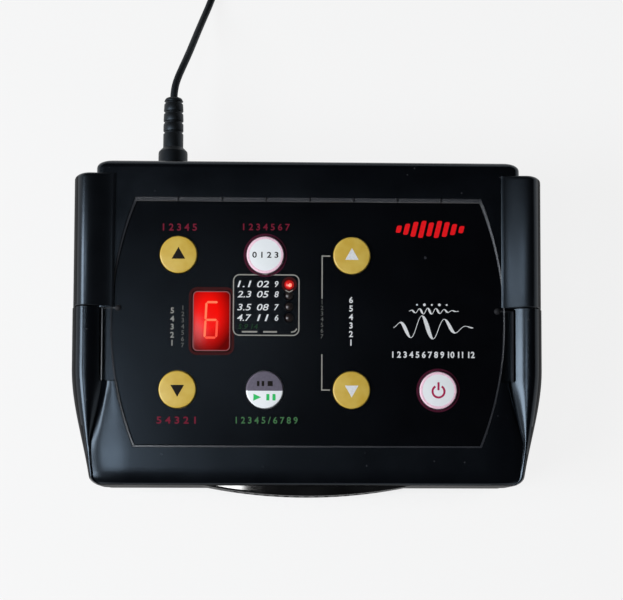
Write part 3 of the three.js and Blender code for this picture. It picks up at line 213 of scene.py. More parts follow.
finish = {
    "shell": mouldedPlastic("shell_plastic", (0.001, 0.0012, 0.0018), (0.0016, 0.0018, 0.0026), 0.24, 0.12,
                            dust=0.3, specular=0.4),
    "rail": mouldedPlastic("rail_plastic", (0.0018, 0.002, 0.0026), (0.0025, 0.0028, 0.0036), 0.3, 0.1,
                           specular=0.42),
    "cover": mouldedPlastic("cover_satin", (0.002, 0.002, 0.0024), (0.0026, 0.0026, 0.003), 0.5, 0.2,
                            specular=0.06),
    "gloss": glossPlastic("trim_gloss", (0.002, 0.002, 0.0022), 0.04, 0.01),
    "plate": mouldedPlastic("plate_sheet", (0.0007, 0.0007, 0.0011), (0.0009, 0.0009, 0.0014), 0.22, 0.02,
                            specular=0.22, grainScale=900),
    "gold": keyPlastic("key_gold", (0.54, 0.345, 0.04), (0.61, 0.43, 0.08)),
    "white": keyPlastic("key_white", (0.79, 0.81, 0.815), (0.84, 0.85, 0.865)),
    "digit": glowing("digit_lit", (0.3, 0.04, 0.02), (0.86, 0.16, 0.06), 0.9),
    "digitDim": glowing("digit_dim", (0.3, 0.02, 0.01), (0.84, 0.055, 0.02), 0.9),
    "lampLit": glowing("lamp_lit", (0.3, 0.01, 0.01), (0.36, 0.004, 0.003)),
    "lampCore": glowing("lamp_core", (1.0, 0.3, 0.2), (1.0, 0.16, 0.1)),
    "lamp": glossPlastic("lamp_dark", (0.006, 0.002, 0.002), 0.3),
    "board": mouldedPlastic("solder_mask", (0.01, 0.08, 0.03), (0.015, 0.11, 0.045), 0.35, 0.2),
    "chip": mouldedPlastic("chip_black", (0.012, 0.012, 0.013), (0.02, 0.02, 0.021), 0.5, 0.3),
    "steel": metalFinish("screw_steel", (0.55, 0.56, 0.57), 0.35),
    "brass": metalFinish("contact_brass", (0.75, 0.6, 0.33), 0.25),
    "magnet": mouldedPlastic("ferrite", (0.03, 0.03, 0.032), (0.045, 0.045, 0.048), 0.55, 0.5),
    "paper": mouldedPlastic("cone_paper", (0.02, 0.019, 0.018), (0.035, 0.033, 0.03), 0.9, 0.8,
                            grainScale=1200),
    "foam": mouldedPlastic("gasket_foam", (0.02,) * 3, (0.035,) * 3, 0.95, 0.9, grainScale=1500),
    "battery": glossPlastic("battery_sleeve", (0.04, 0.09, 0.25), 0.35),
    "rubber": mouldedPlastic("rubber_black", (0.008,) * 3, (0.012,) * 3, 0.75, 0.5, grainScale=1400),
    "plug": mouldedPlastic("plug_vinyl", (0.003, 0.003, 0.0028), (0.0042, 0.0042, 0.004), 0.45, 0.25,
                           specular=0.35, grainScale=1600),
    "cord": mouldedPlastic("cord_vinyl", (0.003,) * 3, (0.0045,) * 3, 0.5, 0.2, specular=0.3,
                           grainScale=1800),
    "strap": mouldedPlastic("strap_weave", (0.01, 0.01, 0.011), (0.02, 0.02, 0.022), 0.85, 0.9,
                            grainScale=1100),
    "lead": glossPlastic("lead_red", (0.3, 0.02, 0.02), 0.4),
    "rim": glossPlastic("rim_grey", (0.014, 0.015, 0.019), 0.24, specular=1.0),
    "clip": printedInk("clip_grey", (0.012, 0.012, 0.014)),
    "grey": printedInk("key_grey", (0.125, 0.11, 0.145)),
    "windowLine": printedInk("window_line", (0.24, 0.085, 0.09)),
}
# Two of these inks, the dim red and the dim rose, are only for rings of painted glow on the plate.
inks = {
    "White": (0.72, 0.72, 0.72), "Cream": (0.29, 0.28, 0.25), "Dull": (0.12, 0.12, 0.11),
    "Red": (0.16, 0.005, 0.022), "Scarlet": (0.85, 0.004, 0.008), "Crimson": (0.4, 0.015, 0.08),
    "Rose": (0.05, 0.0015, 0.014), "Ember": (0.035, 0.0008, 0.001), "Pink": (0.9, 0.6, 0.7),
    "Green": (0.05, 0.15, 0.055), "Moss": (0.006, 0.035, 0.01), "Leaf": (0.03, 0.5, 0.12),
    "Black": (0.006, 0.004, 0.003),
}
for tone, colour in inks.items():
    finish["ink" + tone] = printedInk("ink_" + tone.lower(), colour)
print("materials mixed")


# Mesh helpers
def finishPiece(name, mesh, material, body, stands=(), smooth=32):
    mesh.validate()
    mesh.shade_smooth()
    mesh.set_sharp_from_angle(angle=radians(smooth))
    mesh.materials.clear()
    mesh.materials.append(finish[material])
    piece = addObject(name, mesh)
    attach(piece, body)
    if stands:
        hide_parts(*stands)
    return piece


# Ink, lines and other thin pieces that stand for no node
def thinPiece(name, mesh, material, body="case"):
    return finishPiece(name, mesh, material, body, smooth=50)


def quarter(steps=8):
    return [pi / 2 * i / steps for i in range(steps + 1)]


def mix(a, b, share):
    return a + (b - a) * share


def smoothStep(value):
    value = max(0, min(1, value))
    return value * value * (3 - 2 * value)


def at(x, y, z=0):
    return Matrix.Translation((x, y, z))


def meshFrom(name, points, faces, place=None):
    mesh = bpy.data.meshes.new(name)
    points = [place @ Vector(p) if place else Vector(p) for p in points]
    mesh.from_pydata([tuple(p * mm) for p in points], [], faces)
    bm = bmesh.new()
    bm.from_mesh(mesh)
    bmesh.ops.remove_doubles(bm, verts=bm.verts, dist=1e-7)
    bmesh.ops.recalc_face_normals(bm, faces=bm.faces)
    bm.to_mesh(mesh)
    bm.free()
    return mesh


# Rings of equal length, joined one to the next and closed at both ends
def loftMesh(name, rings, place=None, closedLoop=False):
    size, count = len(rings[0]), len(rings)
    points = [p for ring in rings for p in ring]
    faces = []
    for i in range(count if closedLoop else count - 1):
        near, far = i * size, (i + 1) % count * size
        for j in range(size):
            k = (j + 1) % size
            faces.append((near + j, near + k, far + k, far + j))
    if not closedLoop:
        faces.append(tuple(reversed(range(size))))
        faces.append(tuple(range((count - 1) * size, count * size)))
    return meshFrom(name, points, faces, place)


# Flat outlines at rising heights make a solid, so an inset at a height makes a chamfer
def layered(layers):
    return [[(x, y, height) for x, y in outline] for outline, height in layers]


def prism(name, outline, low, high, place=None):
    return loftMesh(name, layered([(outline, low), (outline, high)]), place)


def boxMesh(name, low, high):
    return prism(name, [(low[0], low[1]), (high[0], low[1]), (high[0], high[1]), (low[0], high[1])],
                 low[2], high[2])


def uprightSolid(name, outline, yLow, yHigh, level=0):
    return loftMesh(name, [[(x, y, level + z) for x, z in outline] for y in (yLow, yHigh)])


# Layers of a rounded edge, where outline(inset) gives the outline and level is the end face
def roundedEdge(outline, edge, level, steps=6, top=False):
    sign = -1 if top else 1
    layers = [(outline(edge * (1 - sin(a))), level + sign * edge * (1 - cos(a))) for a in quarter(steps)]
    return layers[::sign]


# A profile of (radius, height) turned about the Z axis of its place; it starts and ends on the axis
def turnedMesh(name, profile, place=None, sides=64):
    points, faces, rings = [], [], []
    for radius, height in profile:
        if radius < 1e-6:
            rings.append([len(points)] * sides)
            points.append((0, 0, height))
        else:
            rings.append(list(range(len(points), len(points) + sides)))
            points += [(x, y, height) for x, y in circleOutline(radius, sides=sides)]
    for low, high in zip(rings, rings[1:]):
        for i in range(sides):
            corner = [low[i], low[(i + 1) % sides], high[(i + 1) % sides], high[i]]
            face = [c for k, c in enumerate(corner) if c != corner[k - 1]]
            if len(face) > 2:
                faces.append(tuple(face))
    return meshFrom(name, points, faces, place)


def roundedOutline(width, depth, radius, steps=8, centre=(0, 0)):
    outline = []
    for cornerX, cornerY, start in ((1, 1, 0), (-1, 1, 90), (-1, -1, 180), (1, -1, 270)):
        for i in range(steps + 1):
            turn = radians(start + 90 * i / steps)
            outline.append((centre[0] + cornerX * (width / 2 - radius) + radius * cos(turn),
                            centre[1] + cornerY * (depth / 2 - radius) + radius * sin(turn)))
    return outline


def shrinkingOutline(width, depth, corner, centre):
    return lambda inset: roundedOutline(width - 2 * inset, depth - 2 * inset, corner - inset, 10, centre)


def circleOutline(radius, centre=(0, 0), sides=48):
    return [(centre[0] + radius * cos(2 * pi * i / sides),
             centre[1] + radius * sin(2 * pi * i / sides)) for i in range(sides)]


# The two edges of a band along a line of points; width may change along it
def band(points, width, closed=False):
    count = len(points)
    left, right = [], []
    for i, (x, y) in enumerate(points):
        before = points[(i - 1) % count] if closed or i else points[0]
        after = points[(i + 1) % count] if closed or i < count - 1 else points[-1]
        ahead = Vector((after[0] - before[0], after[1] - before[1])).normalized()
        half = (width(i / (count - 1)) if callable(width) else width) / 2
        left.append((x - ahead.y * half, y + ahead.x * half))
        right.append((x + ahead.y * half, y - ahead.x * half))
    return left, right


def lineOutline(points, width):
    left, right = band(points, width)
    return left[::-1] + right


def hoopMesh(name, outline, width, low, high, place):
    inner, outer = band(outline, width, closed=True)
    rings = layered([(outer, low), (outer, high), (inner, high), (inner, low)])
    return loftMesh(name, rings, place, closedLoop=True)


def joinedMesh(name, meshes):
    points, faces = [], []
    for mesh in meshes:
        base = len(points)
        points += [v.co / mm for v in mesh.vertices]
        faces += [tuple(base + i for i in p.vertices) for p in mesh.polygons]
    return meshFrom(name, points, faces)


# The mesh that an object has once its modifiers or numerals are made
def madeMesh(thing):
    return bpy.data.meshes.new_from_object(thing.evaluated_get(bpy.context.evaluated_depsgraph_get()))


def combine(name, mesh, others, operation="DIFFERENCE"):
    base = addObject(name, mesh)
    tools = [addObject(f"{name}_tool_{i}", other) for i, other in enumerate(others)]
    for tool in tools:
        modifier = base.modifiers.new(tool.name, "BOOLEAN")
        modifier.operation, modifier.solver, modifier.object = operation, "EXACT", tool
    result = madeMesh(base)
    for extra in [base, *tools]:
        bpy.data.objects.remove(extra)
    result.materials.clear()
    return result


# The sloping top face
case = {
    "width": 154, "depth": 117, "front": -56.8, "frontHeight": 40, "backHeight": 49,
    "parting": 10, "wall": 2.4, "corner": 4, "edge": 3, "frontEdge": 0.9, "roll": 5, "rollDrop": 1.1,
    "innerCorner": 2.8, "roof": 8.6, "soundWindow": (57.2, 16, 4), "soundLevel": 23.5, "plugHole": 3.05,
}
halfWidth, frontY = case["width"] / 2, case["front"]
middleY = frontY + case["depth"] / 2
backY = frontY + case["depth"]
rise = (case["backHeight"] - case["frontHeight"]) / case["depth"]
slope = atan(rise)


def deckHeight(y):
    return case["frontHeight"] + rise * (y - frontY)


recess = {
    "endInset": 14.4, "backLand": 14.7, "frontLand": 13.7, "bulge": 8.6, "shelf": 2,
    "plateDrop": 0.9, "plateThickness": 1, "plateGap": 0.5,
}
recessY = (frontY + recess["frontLand"] + backY - recess["backLand"]) / 2
recessHalf = (case["depth"] - recess["frontLand"] - recess["backLand"]) / 2 / cos(slope)
recessEnd = halfWidth - recess["endInset"]
deck = at(0, recessY, deckHeight(recessY)) @ Matrix.Rotation(slope, 4, "X")


def deckSolid(name, layers):
    return loftMesh(name, layered(layers), deck)


def arcAngles(middle, reach, steps):
    return [middle - reach + 2 * reach * i / steps for i in range(steps + 1)]


def barrelOutline(inset):
    half, end, bulge = recessHalf - inset, recessEnd - inset, recess["bulge"]
    radius = (half * half + bulge * bulge) / (2 * bulge)
    right = [(end + bulge - radius + radius * cos(a), radius * sin(a))
             for a in arcAngles(0, asin(half / radius), 48)]
    return right + [(-x, -y) for x, y in right]


# Supply cord: its route comes before the looks, because it sets the room that the model takes
lead = {
    "x": -50.7, "height": 24, "radius": 1.4, "gap": 0.3, "collar": 9.9, "relief": 19.4,
    "coilCentre": (-12, 168), "coilRadius": 15.5, "coilGap": 0.5, "turns": 14.25, "layers": 4,
    "coilLevel": 2.55, "leadIn": 5, "leadOut": 22, "stepsPerTurn": 24,
}
adapter = {"length": 56, "depth": 40, "height": 28, "corner": 5, "edge": 1.6, "relief": 12, "seam": 17.1,
           "pinApart": 19, "pinRadius": 2, "pinEnd": 47}
coilX, coilY = lead["coilCentre"]
coilPitch = lead["coilGap"] + 2 * lead["radius"]
layerTurns = lead["turns"] / lead["layers"]
coilOuter = lead["coilRadius"] + layerTurns * coilPitch / 2
plugFace = backY + lead["gap"]
plugEnd = plugFace + lead["collar"] + lead["relief"]
coilStart = (coilX - coilOuter, coilY - lead["leadIn"], lead["coilLevel"])
freeRun = [
    (-50.7, plugEnd + 0.3, 24), (-50.6, 93.1, 23.9), (-49.6, 97.5, 23.2), (-47.5, 103.4, 21),
    (-45.6, 109.1, 17.8), (-43.9, 115.1, 14), (-42.2, 121.1, 10.2), (-40.4, 127, 6.8),
    (-38.4, 133, 4), (-36.4, 139.5, 2.2), (-34.8, 147, 1.8), (-33.8, 155, 2.3),
    (coilStart[0], coilStart[1] - 2.8, coilStart[2]), coilStart,
]


# In, out, in and out again, climbing a layer in the half turn where the spiral turns back
def coilRoute():
    layerAngle, perTurn = layerTurns * pi * 2, lead["stepsPerTurn"]
    route = []
    for i in range(round(lead["turns"] * perTurn) + 1):
        turn = i / perTurn * 2 * pi
        layer = min(lead["layers"] - 1, int(turn / layerAngle))
        along = turn / layerAngle - layer
        radius = coilOuter - (along if layer % 2 == 0 else 1 - along) * layerTurns * coilPitch
        level = sum(smoothStep((turn - step * layerAngle) / pi + 0.5) for step in range(1, lead["layers"]))
        route.append((coilX + radius * cos(pi - turn), coilY + radius * sin(pi - turn),
                      lead["coilLevel"] + level * coilPitch))
    x, y, z = route[-1]
    for share in (0.2, 0.4, 0.6, 0.8, 1):
        climb = smoothStep((share - 0.1) / 0.7)
        route.append((x + share * lead["leadOut"], y, z + (adapter["height"] / 2 - z) * climb))
    return route


def makeCord():
    route = [Vector(point) * mm for point in freeRun + coilRoute()]
    data = bpy.data.curves.new("supply_lead", "CURVE")
    data.dimensions = "3D"
    spline = data.splines.new("NURBS")
    spline.points.add(len(route) - 1)
    for point, place in zip(spline.points, route):
        point.co = (*place, 1)
    spline.order_u, spline.resolution_u, spline.use_endpoint_u = 3, 4, True
    data.bevel_depth, data.bevel_resolution, data.use_fill_caps = lead["radius"] * mm, 4, True
    data.materials.append(finish["cord"])
    cord = addObject("supply_lead", data)
    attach(cord, "plug")
    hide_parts("supply_cord", "cord_coil")
    return cord, sum((a - b).length for a, b in zip(route, route[1:]))


supplyLead, leadLength = makeCord()
print(f"supply lead laid: {leadLength:.3f} m")


# Places on the keypad, in the deck frame
keypad = {
    "columnInset": 15.6, "rowInset": 20.1, "rowShift": 0.25, "keyRadius": 6.7, "gap": 0.3,
    "window": (13.5, 21.6), "windowShift": 3.6, "windowY": 0.6, "windowCorner": 1.6,
    "lampRadius": 1.5, "lampShift": 8.7, "lampBack": 14, "lampPitch": 4, "lamps": 4,
}
columnPitch = (recessEnd - keypad["columnInset"]) / 1.5
rowPitch = 2 * (recessHalf - keypad["rowInset"])
keyPlaces = {
    name: (column * columnPitch, keypad["rowShift"] + row * rowPitch)
    for name, column, row in (
        ("pitch_up", -1.5, 0.5), ("mode", -0.5, 0.5), ("volume_up", 0.5, 0.5), ("pitch_down", -1.5, -0.5),
        ("start_stop", -0.5, -0.5), ("volume_down", 0.5, -0.5), ("power", 1.5, -0.5))
}
windowPlace = (-columnPitch - keypad["windowShift"], keypad["windowY"])
lampPlaces = [(keypad["lampShift"] - columnPitch / 2, keypad["lampBack"] - i * keypad["lampPitch"])
              for i in range(keypad["lamps"])]
plateTop = -recess["plateDrop"]
recessDeep = recess["plateDrop"] + recess["plateThickness"] + keypad["gap"]
shelfLow = recessDeep + recess["shelf"]


def faceOpenings():
    gap = keypad["gap"]
    holes = [circleOutline(keypad["keyRadius"] + gap, place, 72) for place in keyPlaces.values()]
    holes += [circleOutline(keypad["lampRadius"] + gap, place, 32) for place in lampPlaces]
    width, depth = (size + 2 * gap for size in keypad["window"])
    holes.append(roundedOutline(width, depth, keypad["windowCorner"], centre=windowPlace))
    return joinedMesh("openings", [prism("hole", hole, -9, 1, deck) for hole in holes])


# Case top: a plain block behind the seam, tapering rails with valleys in front of it
rails = {
    "seamBack": 53.5, "sideDrop": 8, "chamfer": 1.5,
    "frontProud": 8.65, "frontCrestIn": 5.2, "frontCrestRise": 1.8, "frontCrestFall": 2.6,
    "crestNarrowing": 0.74, "frontTaper": 7.2, "taperFrom": 0.34, "fallFrom": 0.42, "valleyEnd": 0.83,
    "valleyIn": 4.2, "valleyOut": 1.8, "valleyDeep": 2.2, "valleyShallow": 1, "crestGap": 0.75,
    "tongueLean": 0.8, "tongueBulge": 1.1,
    "rearProud": 8.4, "rearCrestIn": 5.1, "rearCrestRise": 3, "lap": 7, "backSetback": 5.3, "endRound": 1.6,
    "foot": 0.7, "seatGap": 0.3, "lipThickness": 0.35, "skin": 2.2,
}
seamY = backY - rails["seamBack"]


# The front wall and the rails' outer walls have a satin texture, unlike the deck
def dullWalls(piece):
    piece.data.materials.append(finish["cover"])
    for face in piece.data.polygons:
        place = face.center / mm
        outside = abs(place.x) > halfWidth + 1 and abs(face.normal.x) > 0.8
        if outside or (face.normal.y < -0.8 and place.y < frontY + 0.4):
            face.material_index = 1


def mirroredRing(half, y):
    return [(x, y, z) for x, z in half] + [(-x, y, z) for x, z in reversed(half)]


def rearRing(y, sideInset=0.0, topInset=0.0):
    outer, top, edge = halfWidth - sideInset, deckHeight(y) - topInset, case["edge"]
    half = [(outer - 0.4, case["parting"]), (outer, case["parting"] + 0.4)]
    half += [(outer - edge * (1 - cos(a)), top - edge * (1 - sin(a))) for a in quarter()]
    return mirroredRing(half, y)


# A rail's outside, from its foot up over the brow to the crest
def railBrow(outer, shoulder, crest, crestTop):
    low, foot = case["parting"], rails["chamfer"]
    return [(outer - foot, low), (outer - 0.4, low + 0.7), (outer, low + foot)] + [
        (mix(crest, outer, cos(a)), mix(shoulder, crestTop, sin(a))) for a in quarter(10)]


def frontRing(y, sideInset=0.0, topInset=0.0):
    along = (seamY - y) / (seamY - frontY)
    taper = max(0, (along - rails["taperFrom"]) / (1 - rails["taperFrom"]))
    fall = smoothStep((along - rails["fallFrom"]) / (1 - rails["fallFrom"]))
    close = max(0, min(1, (along - rails["fallFrom"]) / (rails["valleyEnd"] - rails["fallFrom"])))
    narrowing = rails["frontTaper"] * taper ** 2 * (2.2 - 1.2 * taper)
    outer = halfWidth + rails["frontProud"] - narrowing - sideInset
    crest = outer - rails["frontCrestIn"] * (1 - rails["crestNarrowing"] * fall)
    top = deckHeight(y) - topInset - case["rollDrop"] * max(0, 1 - (y - frontY) / case["roll"]) ** 2
    crestTop = top + rails["frontCrestRise"] - rails["frontCrestFall"] * fall
    valley = min(mix(halfWidth - rails["valleyIn"], halfWidth + rails["valleyOut"], close),
                 crest - rails["crestGap"])
    valleyTop = top - mix(rails["valleyDeep"], rails["valleyShallow"], close)
    reach = min(1, abs(y - recessY) / recessHalf)
    tongue = min(recessEnd + recess["bulge"] * (rails["tongueBulge"] - reach * reach),
                 valley - rails["chamfer"])
    half = railBrow(outer, top - rails["sideDrop"], crest, crestTop)
    half += [(mix(crest, valley, i / 7), mix(valleyTop, crestTop, cos(pi / 2 * i / 7)))
             for i in range(1, 8)]
    lean, deep = rails["tongueLean"], top - valleyTop
    half += [(mix(valley, tongue, i / 12),
              top - lean * (1 - i / 12) ** 2 - (deep - lean) * max(0, 1 - i / 3) ** 2)
             for i in range(1, 13)]
    return mirroredRing(half, y)


# How far a corner of the given radius has fallen back at a distance from its outer face
def roundShare(distance, radius):
    reach = max(0, 1 - distance / radius)
    return 1 - sqrt(1 - reach * reach)


def endStations(edge, radius):
    return [(edge - radius * (1 - sin(a)), 1 - cos(a)) for a in quarter()]


def caseTopMesh():
    edge, corner, frontEdge = case["edge"], case["corner"], case["frontEdge"]
    rear = [rearRing(seamY)] + [rearRing(y, corner * share, edge * share)
                                for y, share in endStations(backY, edge)]
    front = [frontRing(mix(seamY + 0.02, frontY + edge, i / 30)) for i in range(30)]
    away = sorted({size * (1 - sin(a)) for size in (edge, frontEdge) for a in quarter(6)})
    front += [frontRing(frontY + d, corner * roundShare(d, edge), frontEdge * roundShare(d, frontEdge))
              for d in reversed(away)]
    return combine("case_top_block", loftMesh("rear", rear), [loftMesh("front", front)], "UNION")


rim = {"back": 1.3, "front": 0.5, "side": 0.25, "inner": 0.42, "seat": 0.95, "crest": 0.3, "fall": 0.145,
       "facet": 0.14, "outerFacet": 0.42, "innerFacet": 0.7, "clips": 7, "clipPitch": 15.9}


# The recess outline with its land cut back for the rim
def rimOutline(inset=0.0):
    return [(x + copysign(rim["side"] - inset, x),
             y * (1 + ((rim["back"] if y > 0 else rim["front"]) - inset) / recessHalf))
            for x, y in barrelOutline(0)]


bays = {"outerInset": 1.8, "back": 53.5, "length": 26.6, "depth": 5.2, "corner": 0.9}


def bayCutter():
    width = halfWidth - bays["outerInset"] - recessEnd
    middle = backY - bays["back"] - bays["length"] / 2 - recessY
    levels = (-bays["depth"], -bays["depth"] + 0.4, -2, 8)
    meshes = []
    for side in (1, -1):
        centre = (side * (recessEnd + width / 2), middle)
        outlines = [roundedOutline(width - drop, bays["length"] - drop, bays["corner"] - drop / 2,
                                   centre=centre) for drop in (0.8, 0.4, 0, 0)]
        meshes.append(deckSolid("bay", list(zip(outlines, levels))))
    keep = prism("keep", barrelOutline(recess["plateGap"]), -20, 10, deck)
    return combine("bays", joinedMesh("bay_pair", meshes), [keep])


def slopedBlock(name, outline, low, drop):
    return loftMesh(name, [[(x, y, low) for x, y in outline],
                           [(x, y, deckHeight(y) - drop) for x, y in outline]])


def caseTop():
    depth, skin = case["depth"] - 2 * case["wall"], rails["skin"]
    inside, upper = (roundedOutline(wide, deep, case["innerCorner"], centre=(0, middleY)) for wide, deep in (
        (case["width"] - 2 * case["wall"], depth), (2 * recessEnd - 8, depth - 1)))
    straight, grown = barrelOutline(0), rimOutline()
    length = (seamY - frontY) * 0.48 - skin
    hollows = []
    for side in (1, -1):
        centre = (side * (halfWidth + rails["frontProud"] / 2), seamY - skin - length / 2)
        outline = roundedOutline(rails["frontProud"] - 2 * skin, length, 0.8, centre=centre)
        hollows.append(slopedBlock("rail_hollow", outline, 2, rails["sideDrop"]))
    hole = at(lead["x"], backY + 4, lead["height"]) @ Matrix.Rotation(pi / 2, 4, "X")
    small, large = case["plugHole"], case["plugHole"] + 1.15
    mesh = combine("case_top", caseTopMesh(), [
        slopedBlock("cavity", inside, 2, case["roof"]), slopedBlock("upper_cavity", upper, 20, shelfLow),
        deckSolid("recess", [(straight, -recessDeep), (straight, -rim["seat"]), (grown, -rim["seat"] + 0.001),
                             (grown, 8)]),
        bayCutter(), faceOpenings(), joinedMesh("rail_hollows", hollows),
        turnedMesh("plug_hole", [(0, 0), (large, 0), (large, 4), (small, 5), (small, 12), (0, 12)], hole, 48),
        uprightSolid("sound_window", roundedOutline(*case["soundWindow"]), frontY - 4, frontY + 4,
                     case["soundLevel"]),
    ])
    dullWalls(finishPiece("case_top", mesh, "shell", "case", ["top_shell"], 26))


caseTop()
print("case top moulded")


# Rear rail covers
def rearRailRing(y, side, sideInset=0.0, topInset=0.0):
    low, skin, deckTop = case["parting"], rails["skin"], deckHeight(y)
    inner, edge = halfWidth + keypad["gap"], halfWidth - rails["lap"]
    outer = halfWidth + rails["rearProud"] - sideInset
    crest = outer - rails["rearCrestIn"]
    top, seat = deckTop - topInset, deckTop + rails["seatGap"]
    foot = max(seat + rails["lipThickness"], top + rails["foot"])
    crestTop = max(top + rails["rearCrestRise"], foot + 0.1)
    half = [(inner, low + skin), (inner, low)] + railBrow(outer, top - rails["sideDrop"], crest, crestTop)
    half += [(mix(crest, edge + 0.15, i / 12), mix(crestTop, foot, smoothStep(i / 12)))
             for i in range(1, 13)]
    half += [(edge, foot - 0.12), (edge, seat), (inner, seat), (inner, deckTop - skin),
             (outer - skin, deckTop - skin - rails["sideDrop"] / 2), (outer - skin, low + skin)]
    return [(side * x, y, z) for x, z in half]


def rearRail(name, side):
    back, skin = backY - rails["backSetback"], rails["skin"]
    rings = [rearRailRing(seamY + ahead, side, inset, inset)
             for ahead, inset in ((0.3, 0.25), (0.4, 0.07), (0.6, 0))]
    rings += [rearRailRing(y, side, rails["endRound"] * share, rails["endRound"] * share)
              for y, share in endStations(back, rails["endRound"])]
    inner, outer = halfWidth + keypad["gap"], halfWidth + rails["rearProud"] - skin + 0.2
    low, high = case["parting"] + skin - 0.2, deckHeight(back) - skin - rails["sideDrop"] / 2
    walls = []
    for start, end, outerTop, innerTop in (
            (back - 2.2, back - 0.4, high, high + rails["sideDrop"] / 2 - 0.2),
            (seamY + 0.6, seamY + 2, high - 4.2, high - 0.4)):
        outline = [(inner, low), (outer, low), (outer, outerTop), (inner, innerTop)]
        walls.append(uprightSolid("wall", [(side * x, z) for x, z in outline], start, end))
    mesh = combine(name, loftMesh(name, rings), walls, "UNION")
    dullWalls(finishPiece(name + "_cover", mesh, "rail", "case", [name], 40))


rearRail("right_rear_rail", 1)
rearRail("left_rear_rail", -1)
print("rails fitted")


# Speaker cover on the front wall
bow = {"width": 76, "proud": 3.8, "height": 23, "level": 12, "skin": 1.4, "edge": 0.5, "trim": 1.1,
       "slots": 15, "slotWidth": 1.8, "slotPitch": 3.7, "slotHeight": 13, "slotLevel": 23.5}


def bowOutline(inset):
    half, proud = bow["width"] / 2, bow["proud"]
    radius = (half * half + proud ** 2) / (2 * proud)
    return [((radius - inset) * cos(a), frontY - proud + radius + (radius - inset) * sin(a))
            for a in arcAngles(-pi / 2, asin(half / radius), 64)]


def speakerCover():
    low, high, edge, skin = bow["level"], bow["level"] + bow["height"] - bow["trim"], bow["edge"], bow["skin"]
    layers = roundedEdge(bowOutline, edge, low, 5) + [(bowOutline(0), high - 0.2), (bowOutline(0.15), high)]
    slot = roundedOutline(bow["slotWidth"], bow["slotHeight"], 0.88)
    slots = [uprightSolid("slot", [(x + (i - (bow["slots"] - 1) / 2) * bow["slotPitch"], z) for x, z in slot],
                          frontY - 7, frontY - 0.17, bow["slotLevel"]) for i in range(bow["slots"])]
    clearBox = (-60, frontY - 0.1, 0), (60, 20, 60)
    mesh = combine("cover", loftMesh("cover", layered(layers)), [
        boxMesh("clear", *clearBox), prism("inner", bowOutline(skin), low + skin, high - skin),
        joinedMesh("slots", slots)])
    finishPiece("bow_cover", mesh, "cover", "case", ["speaker_cover"], 30)
    top = high + bow["trim"]
    layers = [(bowOutline(0.1), high + 0.02), (bowOutline(0), high + 0.12)]
    layers += roundedEdge(bowOutline, edge, top, 5, top=True) + [(bowOutline(edge + 0.3), top + 0.001)]
    mesh = combine("trim", loftMesh("trim", layered(layers)), [boxMesh("clear", *clearBox)])
    finishPiece("bow_trim", mesh, "gloss", "case", smooth=30)


speakerCover()
print("speaker covered")


# Keypad plate in its grey rim
def keypadPlate():
    outline, low = barrelOutline(recess["plateGap"]), plateTop - recess["plateThickness"]
    sheet = deckSolid("sheet", [(outline, low), (outline, plateTop - 0.12),
                                (barrelOutline(recess["plateGap"] + 0.12), plateTop)])
    finishPiece("keypad_sheet", combine("plate", sheet, [faceOpenings()]), "plate", "case",
                ["keypad_plate"])


def plateRim():
    inner, outer, seat = barrelOutline(rim["inner"]), rimOutline(0.08), -rim["seat"] + 0.02
    near, far = ([(mix(a, x, share), mix(b, y, share)) for (x, y), (a, b) in zip(inner, outer)]
                 for share in (rim["facet"], 1 - rim["facet"]))
    sloped = [(x, y, -rim["crest"] - rim["fall"] * (1 + b / recessHalf) / 2)
              for (x, y), (a, b) in zip(far, inner)]
    rings = layered([(outer, seat), (outer, -rim["outerFacet"]), (near, -rim["crest"])])
    rings += [sloped] + layered([(inner, -rim["innerFacet"]), (inner, seat)])
    finishPiece("plate_rim", loftMesh("rim", rings, deck, closedLoop=True), "rim", "case", smooth=12)


def rimClips():
    meshes = []
    for i in range(rim["clips"]):
        place = ((i - (rim["clips"] - 1) / 2) * rim["clipPitch"] + 0.4, recessHalf + 0.42)
        outline, top = roundedOutline(0.8, 1.5, 0.25, 3, place), roundedOutline(0.5, 1.2, 0.2, 3, place)
        meshes.append(deckSolid("clip", [(outline, -0.9), (outline, -0.3), (top, -0.16)]))
    thinPiece("rim_clips", joinedMesh("clips", meshes), "clip")


keypadPlate()
plateRim()
rimClips()
print("keypad plate laid")


# Keys with their marks
key = {"sink": 0.3, "flange": 1.1, "flangeThickness": 1, "stem": 1.7, "stemLength": 1.2,
       "crown": 0.6, "edge": 0.55, "edgeRise": 0.42, "fall": 0.62, "dome": 0.2}
domeReach = keypad["keyRadius"] - key["edge"]


def capEdge(lift=0.0, grow=0.0):
    radius, level = keypad["keyRadius"] + grow, key["crown"] + lift - key["fall"]
    return [(radius - key["edge"] * (1 - cos(a)), level + key["edgeRise"] * sin(a)) for a in quarter(6)]


def capProfile(lift=0.0, low=None):
    radius, top = keypad["keyRadius"], key["crown"] + lift
    if low is None:
        wide, stem, foot = radius + key["flange"], key["stem"], -shelfLow - key["sink"]
        under = foot - key["flangeThickness"]
        end = under - key["stemLength"]
        profile = [(0, end), (stem, end), (stem, under), (wide, under), (wide, foot), (radius, foot)]
    else:
        profile = [(0, low), (radius, low)]
    dome = [(r, top - key["dome"] * (r / domeReach) ** 2) for r in (5.2, 4.2, 3.1, 2.0, 1.0)]
    return profile + capEdge(lift) + dome + [(0, top)]


def keyFrame(name):
    return deck @ at(*keyPlaces[name])


def capSlot(name):
    return "gold" if name in goldKeys else "white"


# A mark printed on a cap follows its dome
def capMark(name, label, outlines, material, lift=0.02, pads=None):
    place = keyFrame(name)
    pads = pads or joinedMesh("pads", [prism("pad", outline, 0.2, 1.2, place) for outline in outlines])
    dome = turnedMesh("dome", capProfile(lift, 0.0), place, 96)
    thinPiece(label, combine(label, pads, [dome], "INTERSECT"), material, name + "_button")


